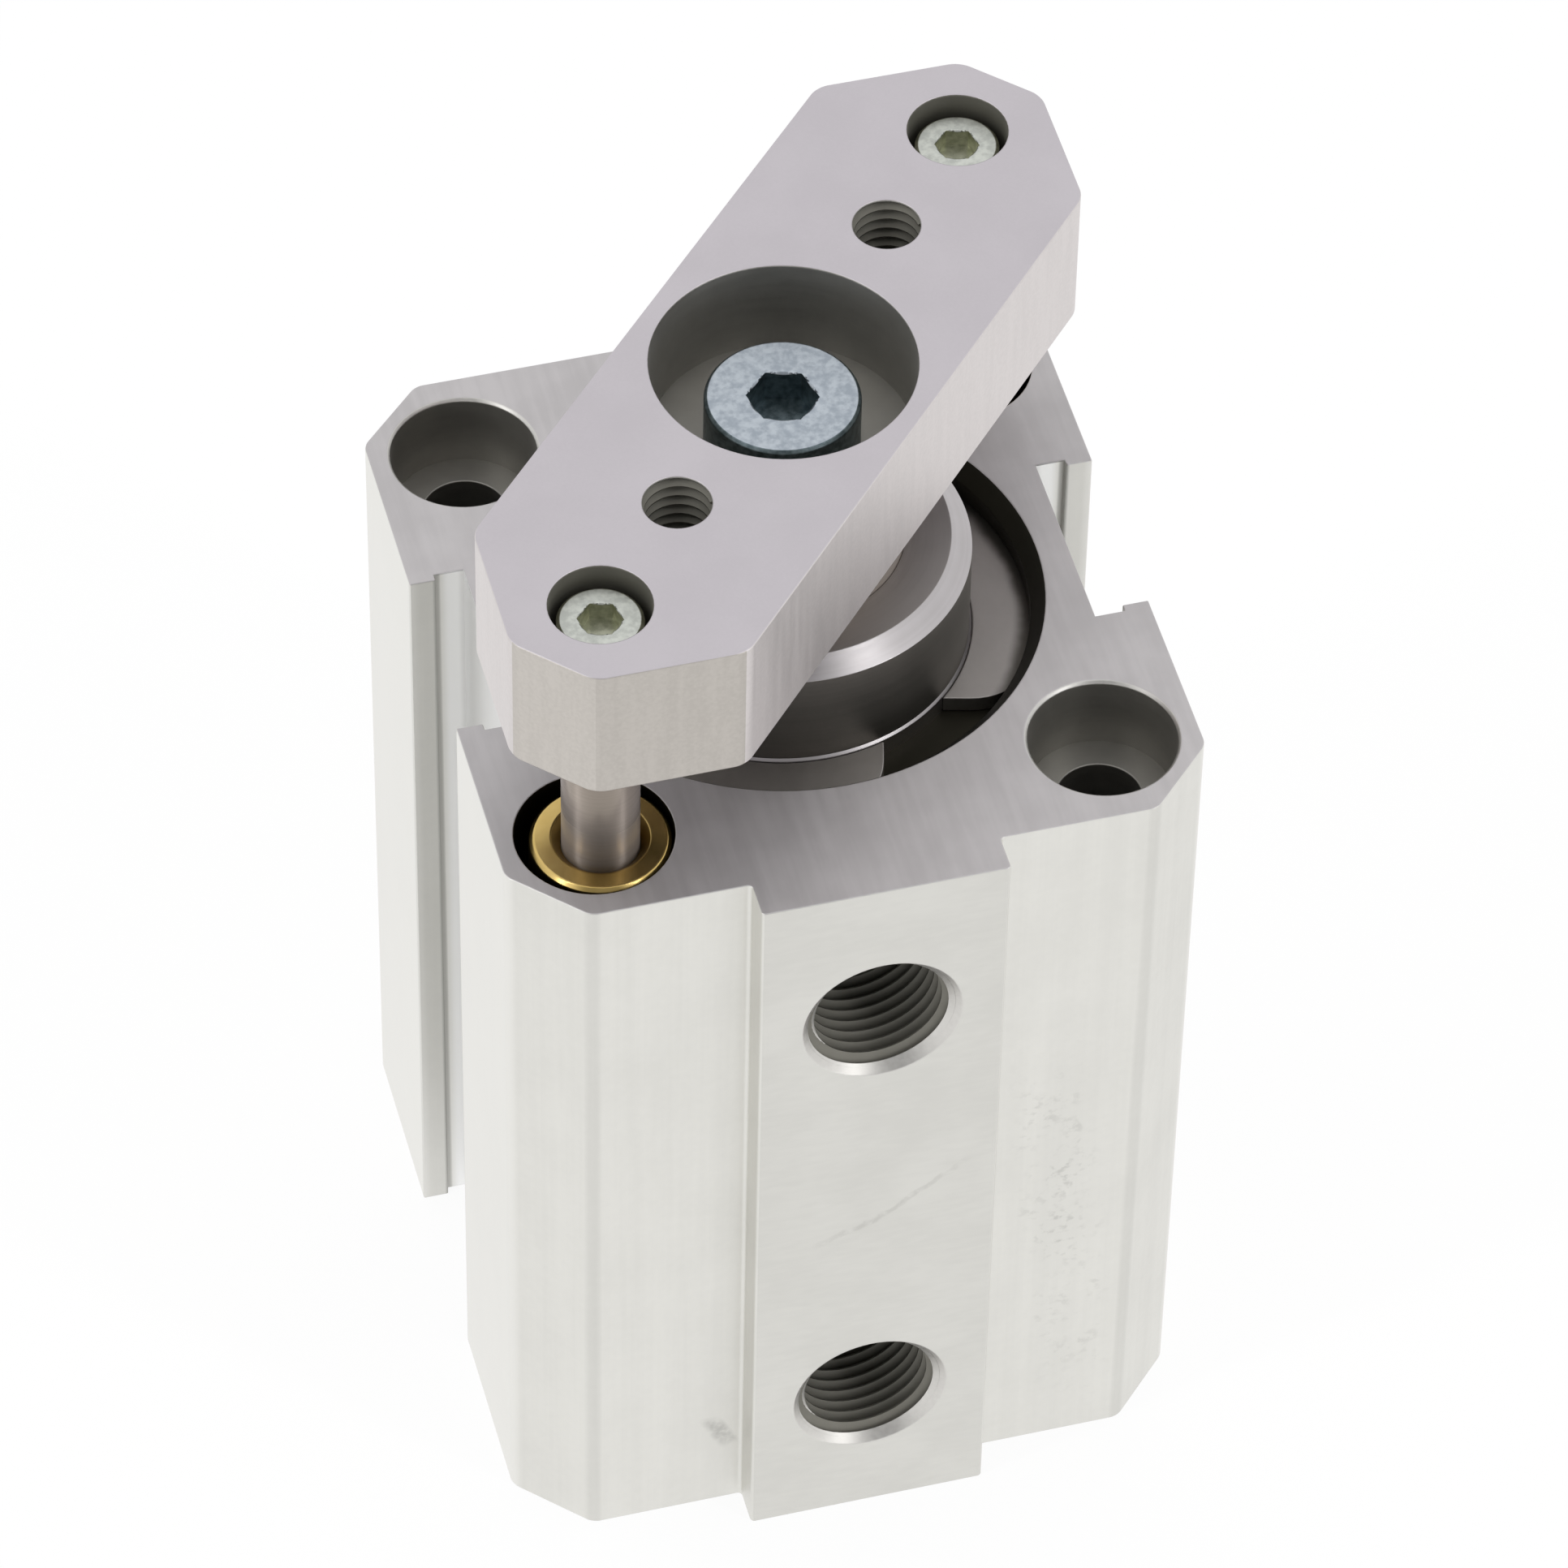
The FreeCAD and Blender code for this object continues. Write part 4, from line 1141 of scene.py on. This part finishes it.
# %% Guide bushes
bush_bore = 2.53 * MM
bush_edge = 0.3 * MM
bush_lead_in = 0.62 * MM
bush_crown = 0.1 * MM
bush_section = [
    (bush_bore, bush_low.z),
    (bush_radius, bush_low.z),
    (bush_radius, bush_high.z - bush_crown - bush_edge),
    (bush_radius - bush_edge, bush_high.z - bush_crown),
    (bush_bore + bush_lead_in, bush_high.z),
    (bush_bore, bush_high.z - bush_lead_in),
]
for name, node, side in (("front_bush", "front_guide_bush", -1), ("back_bush", "back_guide_bush", 1)):
    shape = at_guide(lathe(bush_section, ROUND, closed=True), side)
    add_piece(name, shape, [brass], "barrel", node)

# %% Guide rods
guide_low, guide_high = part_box("back_guide_rod")
guide_radius = (guide_high.x - guide_low.x) / 2
guide_chamfer = 0.5 * MM
guide_tap = 1.52 * MM
guide_tap_floor = guide_high.z - 10.0 * MM
guide_drill_point = 0.9 * MM
guide_section = [
    (0, guide_low.z),
    (guide_radius - guide_chamfer, guide_low.z),
    (guide_radius, guide_low.z + guide_chamfer),
    (guide_radius, guide_high.z),
    (guide_tap, guide_high.z),
    (guide_tap, guide_tap_floor),
    (0, guide_tap_floor - guide_drill_point),
]
for name, node, side in (("front_pin", "front_guide_rod", -1), ("back_pin", "back_guide_rod", 1)):
    shape = at_guide(lathe(guide_section, ROUND), side)
    add_piece(name, shape, [ground_steel], "ram", node, edge_break=0)

# %% The piston rod
rod_low, rod_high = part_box("piston_rod")
rod_radius = rod_high.x
rod_chamfer = 0.8 * MM
upper_tap = 3.02 * MM
upper_tap_floor = rod_high.z - 15.3 * MM
upper_drill_point = 1.8 * MM
lower_tap = 4.02 * MM
lower_tap_floor = rod_low.z + 17.7 * MM
lower_drill_point = 2.4 * MM
rod_section = [
    (0, lower_tap_floor + lower_drill_point),
    (lower_tap, lower_tap_floor),
    (lower_tap, rod_low.z),
    (rod_radius, rod_low.z),
    (rod_radius, rod_high.z - rod_chamfer),
    (rod_radius - rod_chamfer, rod_high.z),
    (upper_tap, rod_high.z),
    (upper_tap, upper_tap_floor),
    (0, upper_tap_floor - upper_drill_point),
]
rod_shape = lathe(rod_section, WIDE_ROUND)
add_piece("rod", rod_shape, [ground_steel], "ram", "piston_rod", edge_break=0)

# %% [markdown]
# ## The front plate
# A bar laid along the line of the guide rods and trimmed to the body's outline. Its band is just
# wide enough for the recess of the middle screw. As with the body, one outline is raised and the
# holes are cut from it.

# %% The plate's bar
plate_low, plate_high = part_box("guide_plate")
plate_base = plate_low.z
plate_top = plate_high.z
plate_x = plate_high.x
plate_y = plate_high.y
half_band = 9.85 * MM
plate_corner = 4.3 * MM
plate_round = 1.8 * MM
guide_line = Vector((guide_x, guide_y)).normalized()


def plate_outline():
    front_end = (half_band - plate_y * guide_line.x) / guide_line.y
    right_end = (plate_x * guide_line.y - half_band) / guide_line.x
    half = [
        (front_end, -plate_y),
        (plate_x, right_end),
        (plate_x, plate_y - plate_corner),
        (plate_x - plate_corner, plate_y),
    ]
    return half + [(-x, -y) for x, y in half]


plate_shape = prism(plate_outline(), plate_base, plate_top)
print("Plate bar:", len(plate_shape.faces), "faces")

# %% Finishes of the plate's faces
PLATE_FACE, PLATE_SIDE, PLATE_END, PLATE_LIT_CORNER, PLATE_BORE, SHADED_SMALL_BORE = range(6)
plate_finishes = [blasted_plate, plate_side, plate_end, plate_lit_corner_end, bored_wall, cut_thread]
FACING = 0.95
across_line = Vector((guide_line.y, -guide_line.x, 0))
for face in plate_shape.faces:
    face.normal_update()
    if abs(face.normal.z) > LEVEL:
        face.material_index = PLATE_FACE
    elif abs(face.normal.dot(across_line)) > FACING or abs(face.normal.x) > FACING:
        face.material_index = PLATE_SIDE
    elif abs(face.normal.y) > FACING:
        face.material_index = PLATE_END
    else:
        face.material_index = PLATE_LIT_CORNER
plate_uprights = round_uprights(plate_shape, lambda x, y: True, plate_round, turn=45)
print("Rounded uprights of the plate:", plate_uprights)

# %% Cutters of the plate's holes
recess_radius = 8.5 * MM
screw_seat = plate_top - 7.1 * MM
screw_hole = 3.3 * MM
tap_x, tap_y = 14.0 * MM * guide_line
tap_radius = 2.5 * MM
tap_rim = 0.35 * MM
tap_mouth = 2.18 * MM
tap_lip = 0.25 * MM
small_head_bore = 3.25 * MM
small_seat = plate_top - 4.3 * MM
small_hole = 1.7 * MM
pin_play = 0.02 * MM
under_plate = plate_base - past
over_plate = plate_top + past


def counterbore(hole, bore, floor, steps, finish_index):
    walls = [(hole, under_plate), (hole, floor), (bore, floor), (bore, over_plate)]
    return drill(walls, steps, finish_index)


def tap_cutter():
    lip_base = plate_top - tap_lip
    walls = [
        (tap_radius + tap_rim, under_plate),
        (tap_radius + tap_rim, plate_base),
        (tap_radius, plate_base + tap_rim),
        (tap_radius, lip_base),
        (tap_mouth, lip_base),
        (tap_mouth, over_plate),
    ]
    return drill(walls, SMALL_ROUND, PLATE_BORE, cone_index=PLATE_FACE)


def pin_seat_cutter():
    seat = guide_radius + pin_play
    return drill([(seat, under_plate), (seat, guide_high.z)], SMALL_ROUND, PLATE_BORE)


plate_cutters = [counterbore(screw_hole, recess_radius, screw_seat, RECESS_ROUND, PLATE_BORE)]
for side in (-1, 1):
    plate_cutters.append(moved(tap_cutter(), side * tap_x, side * tap_y))
    # The small counterbores take the threads' darker finish, painted shade.
    small_bore = counterbore(small_hole, small_head_bore, small_seat, SMALL_ROUND, SHADED_SMALL_BORE)
    plate_cutters.append(at_guide(small_bore, side))
pin_seats = [at_guide(pin_seat_cutter(), side) for side in (-1, 1)]
print("Cutters of the plate:", len(plate_cutters) + len(pin_seats))

# %% Cut the plate
plate_break = 0.14 * MM
plate_shape = cut(plate_shape, plate_cutters, plate_finishes)
plate_shape = cut(plate_shape, pin_seats, plate_finishes)
add_piece("plate", plate_shape, plate_finishes, "ram", "guide_plate", plate_break)

# %% [markdown]
# The taps keep a thin lip of the plate's face over their mouths, so their teeth begin under it and
# need no trimming.

# %% The plate's threads
tap_pitch = 0.8 * MM
tap_crest = 2.1 * MM
tap_length = plate_top - plate_base - tap_lip - tap_rim
for name, side in (("front_tap_thread", -1), ("back_tap_thread", 1)):
    teeth = thread(tap_radius, tap_crest, tap_pitch, tap_length, TINY_ROUND)
    teeth = moved(teeth, side * tap_x, side * tap_y, plate_top - tap_lip)
    add_piece(name, teeth, [cut_thread], "ram", edge_break=0)

# %% [markdown]
# ## Screws
# Socket screws are upset from wire: a round head with a softened rim and a hexagon punched into it,
# which leaves a small cone at its mouth. The section is spun, and a six-sided prism and then that
# cone are cut out of the head.

# %% Socket screws
HEAD, SHADED_SOCKET = range(2)
screw_edge = 0.22 * MM
socket_turn = 14
lead_in_share = 0.6


def hexagon_prism(across_corners, base, top):
    """A six-sided punch, turned about its own axis."""
    radius = across_corners / 2
    shape = bmesh.new()
    bmesh.ops.create_cone(shape, cap_ends=True, segments=6, radius1=radius, radius2=radius,
                          depth=top - base)
    # The socket's walls take the darker zinc, painted shade.
    for face in shape.faces:
        face.material_index = SHADED_SOCKET
    return turned(moved(shape, z=(base + top) / 2), socket_turn)


def screw_blank(shank, head, tip, seat, crown):
    # All but the level faces take the darker zinc, painted shade on the head's side.
    blank = lathe([
        (0, tip),
        (shank - screw_edge, tip),
        (shank, tip + screw_edge),
        (shank, seat),
        (head, seat),
        (head, crown - screw_edge),
        (head - screw_edge, crown),
        (0, crown),
    ], ROUND, finish_index=SHADED_SOCKET)
    for face in blank.faces:
        if face.normal.z >= LEVEL:
            face.material_index = HEAD
    return blank


def socket_screw(blank, crown, key, key_depth, finishes):
    """Punch a socket for a key, measured across its flats, into a blank."""
    corner = key / math.sqrt(3)
    lead_in = lead_in_share * (corner - key / 2)
    mouth = [(key / 2, crown - lead_in), (key / 2 + 2 * lead_in, crown + lead_in)]
    punch = hexagon_prism(2 * corner, crown - key_depth, crown + past)
    punched = cut(blank, [punch], finishes)
    return cut(punched, [drill(mouth, ROUND, HEAD)], finishes)


print("Screws can be made")

# %% The middle screw
screw_low, screw_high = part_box("plate_screw")
screw_finishes = [clear_zinc, shaded_socket_zinc]
screw_break = 0.08 * MM
blank = screw_blank(shank=3.0 * MM, head=5.0 * MM, tip=screw_low.z, seat=screw_seat,
                    crown=screw_high.z)
screw = socket_screw(blank, screw_high.z, key=4.0 * MM, key_depth=2.3 * MM,
                     finishes=screw_finishes)
add_piece("middle_screw", screw, screw_finishes, "ram", "plate_screw", screw_break)

# %% The two small screws
small_low, small_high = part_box("guide_rod_screws")
small_finishes = [pale_zinc, shaded_yellow_zinc]
small_break = 0.06 * MM
small_screws = []
for side in (-1, 1):
    blank = screw_blank(shank=1.5 * MM, head=2.75 * MM, tip=small_low.z, seat=small_seat,
                        crown=small_high.z)
    screw = socket_screw(blank, small_high.z, key=2.5 * MM, key_depth=1.3 * MM,
                         finishes=small_finishes)
    small_screws.append(at_guide(screw, side))
add_piece("small_screws", joined(small_screws), small_finishes, "ram",
          "guide_rod_screws", small_break)

# %% [markdown]
# ## Pieces that stay as they are
# Seals, bumpers, the piston and what is in it are shut inside the body. Their CAD shapes are right,
# so only their finishes are set.

# %% Finishes of the inner pieces
inner_finishes = {
    "rod_cover_o_ring": black_rubber,
    "rear_cover_o_ring": black_rubber,
    "rod_seal": black_rubber,
    "front_bumper": black_rubber,
    "rear_bumper": black_rubber,
    "piston_seal": black_rubber,
    "rod_bush": bearing_bronze,
    "piston": turned_aluminium,
    "piston_magnet": bonded_magnet,
    "piston_screw": clear_zinc,
}
for node, finish in inner_finishes.items():
    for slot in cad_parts[node].material_slots:
        slot.material = finish.material
print("Inner pieces:", len(inner_finishes))

# %% [markdown]
# ## Studio
# The photograph stands on white with hardly a shadow. The floor is white to the camera and to
# reflections, which is what makes the upright sides so pale, and a share of it is an ordinary
# diffuse white that takes the shadow. That share comes out a little darker than white, and the
# strength of the rest makes up for it.

# %% Floor
floor_size = 3.0
shadow_share = 0.12
floor_strength = 1.03
WHITE = (1.0, 1.0, 1.0, 1.0)
pale_floor = Finish("pale_floor", Base_Color=(0.9, 0.9, 0.9, 1.0), Roughness=0.9)
camera_ray = pale_floor.node("ShaderNodeLightPath", output="Is Camera Ray")
mirrored = camera_ray.sibling("Is Glossy Ray") + camera_ray.sibling("Is Transmission Ray")
seen = pale_floor.node("ShaderNodeClamp", None, {"Value": camera_ray + mirrored})
glow = {"Color": WHITE, "Strength": floor_strength}
white = pale_floor.node("ShaderNodeEmission", None, glow)
pale_floor.overlay(seen * (1 - shadow_share), white)
floor_shape = bmesh.new()
bmesh.ops.create_grid(floor_shape, x_segments=1, y_segments=1, size=floor_size)
floor = mesh_object("floor", floor_shape, [pale_floor])
print("Floor:", 2 * floor_size, "m wide")

# %% [markdown]
# The room is a pale tent. Every face of the object mirrors some part of it, so the metals show
# nearly the colour that they have. The tent is open in front, above the camera, and that dark
# opening is mirrored by each chamfer that faces forwards: it is why the near rims of the ports and
# of the brass bushes are darker than their sides.

# %% Room
world = bpy.data.worlds.new("tent")
world.use_nodes = True
bpy.context.scene.world = world
room = Graph(world.node_tree)
tent_level = 0.86
opening_level = 0.3
opening_swing = -11
opening_rise = 42
opening_rim = math.cos(math.radians(36))
opening_middle = math.cos(math.radians(20))


def way(swing, rise):
    """The direction so many degrees to the right of the front and so many above the floor."""
    swing = math.radians(swing)
    rise = math.radians(rise)
    return Vector((math.sin(swing) * math.cos(rise), -math.cos(swing) * math.cos(rise), math.sin(rise)))


room_way = room.node("ShaderNodeTexCoord", output="Generated")
ways = {0: room_way, 1: way(opening_swing, opening_rise)}
toward = room.node("ShaderNodeVectorMath", {"operation": "DOT_PRODUCT"}, ways, output="Value")
opening = room.spots(toward, opening_rim, opening_middle)
tent = tent_level - opening * (tent_level - opening_level)
room_camera = room.node("ShaderNodeLightPath", output="Is Camera Ray")
background = world.node_tree.nodes["Background"]
room.plug(background.inputs["Color"], WHITE)
room.plug(background.inputs["Strength"], tent + room_camera * (1 - tent))
print("Room is lit")

# %% [markdown]
# ## Camera
# The photograph looks down on the object from the front, a little from the left, through a long
# lens. The angles, the distance and the lens were found by matching known corners of the object with
# the photograph.

# %% Camera
azimuth = 15.7977
elevation = 47.9184
roll = math.radians(-1.2158)
distance = 596.8487 * MM
target = Vector((0.6197, 0, 43.6052)) * MM
image_width = 1932
focal_pixels = 11134.7091
outwards = way(-azimuth, elevation)
level_right = (-outwards).cross(Vector((0, 0, 1))).normalized()
level_down = (-outwards).cross(level_right)
right = math.cos(roll) * level_right + math.sin(roll) * level_down
down = math.cos(roll) * level_down - math.sin(roll) * level_right
lens = bpy.data.cameras.new("camera")
lens.sensor_width = 36.0
lens.lens = lens.sensor_width * focal_pixels / image_width
lens.clip_start = 0.01
camera = bpy.data.objects.new("camera", lens)
camera_turn = Matrix((right, -down, outwards)).transposed()
camera.matrix_world = Matrix.Translation(target + distance * outwards) @ camera_turn.to_4x4()
bpy.context.scene.collection.objects.link(camera)
bpy.context.scene.camera = camera
bpy.context.scene.view_settings.view_transform = "Standard"
print("Lens:", round(lens.lens, 1), "mm")

# %% [markdown]
# Two narrow softboxes stand left and right of the camera. They are small next to the tent, and show
# as soft lines along the guide rods, spots on the rims of the brass bushes and glints on the
# chamfers.

# %% Softboxes
softbox_distance = 0.9
softbox_rise = 30
softbox_width = 0.07
softbox_height = 0.9
softbox_power = 1.2
for name, swing in (("left_softbox", -58), ("right_softbox", 58)):
    lamp = bpy.data.lights.new(name, "AREA")
    lamp.shape = "RECTANGLE"
    lamp.size = softbox_width
    lamp.size_y = softbox_height
    lamp.energy = softbox_power
    stand = bpy.data.objects.new(name, lamp)
    stand.location = softbox_distance * way(swing - azimuth, softbox_rise) + target
    stand.rotation_euler = (target - stand.location).to_track_quat("-Z", "Y").to_euler()
    bpy.context.scene.collection.objects.link(stand)
    print(name, "at", [round(side, 2) for side in stand.location])
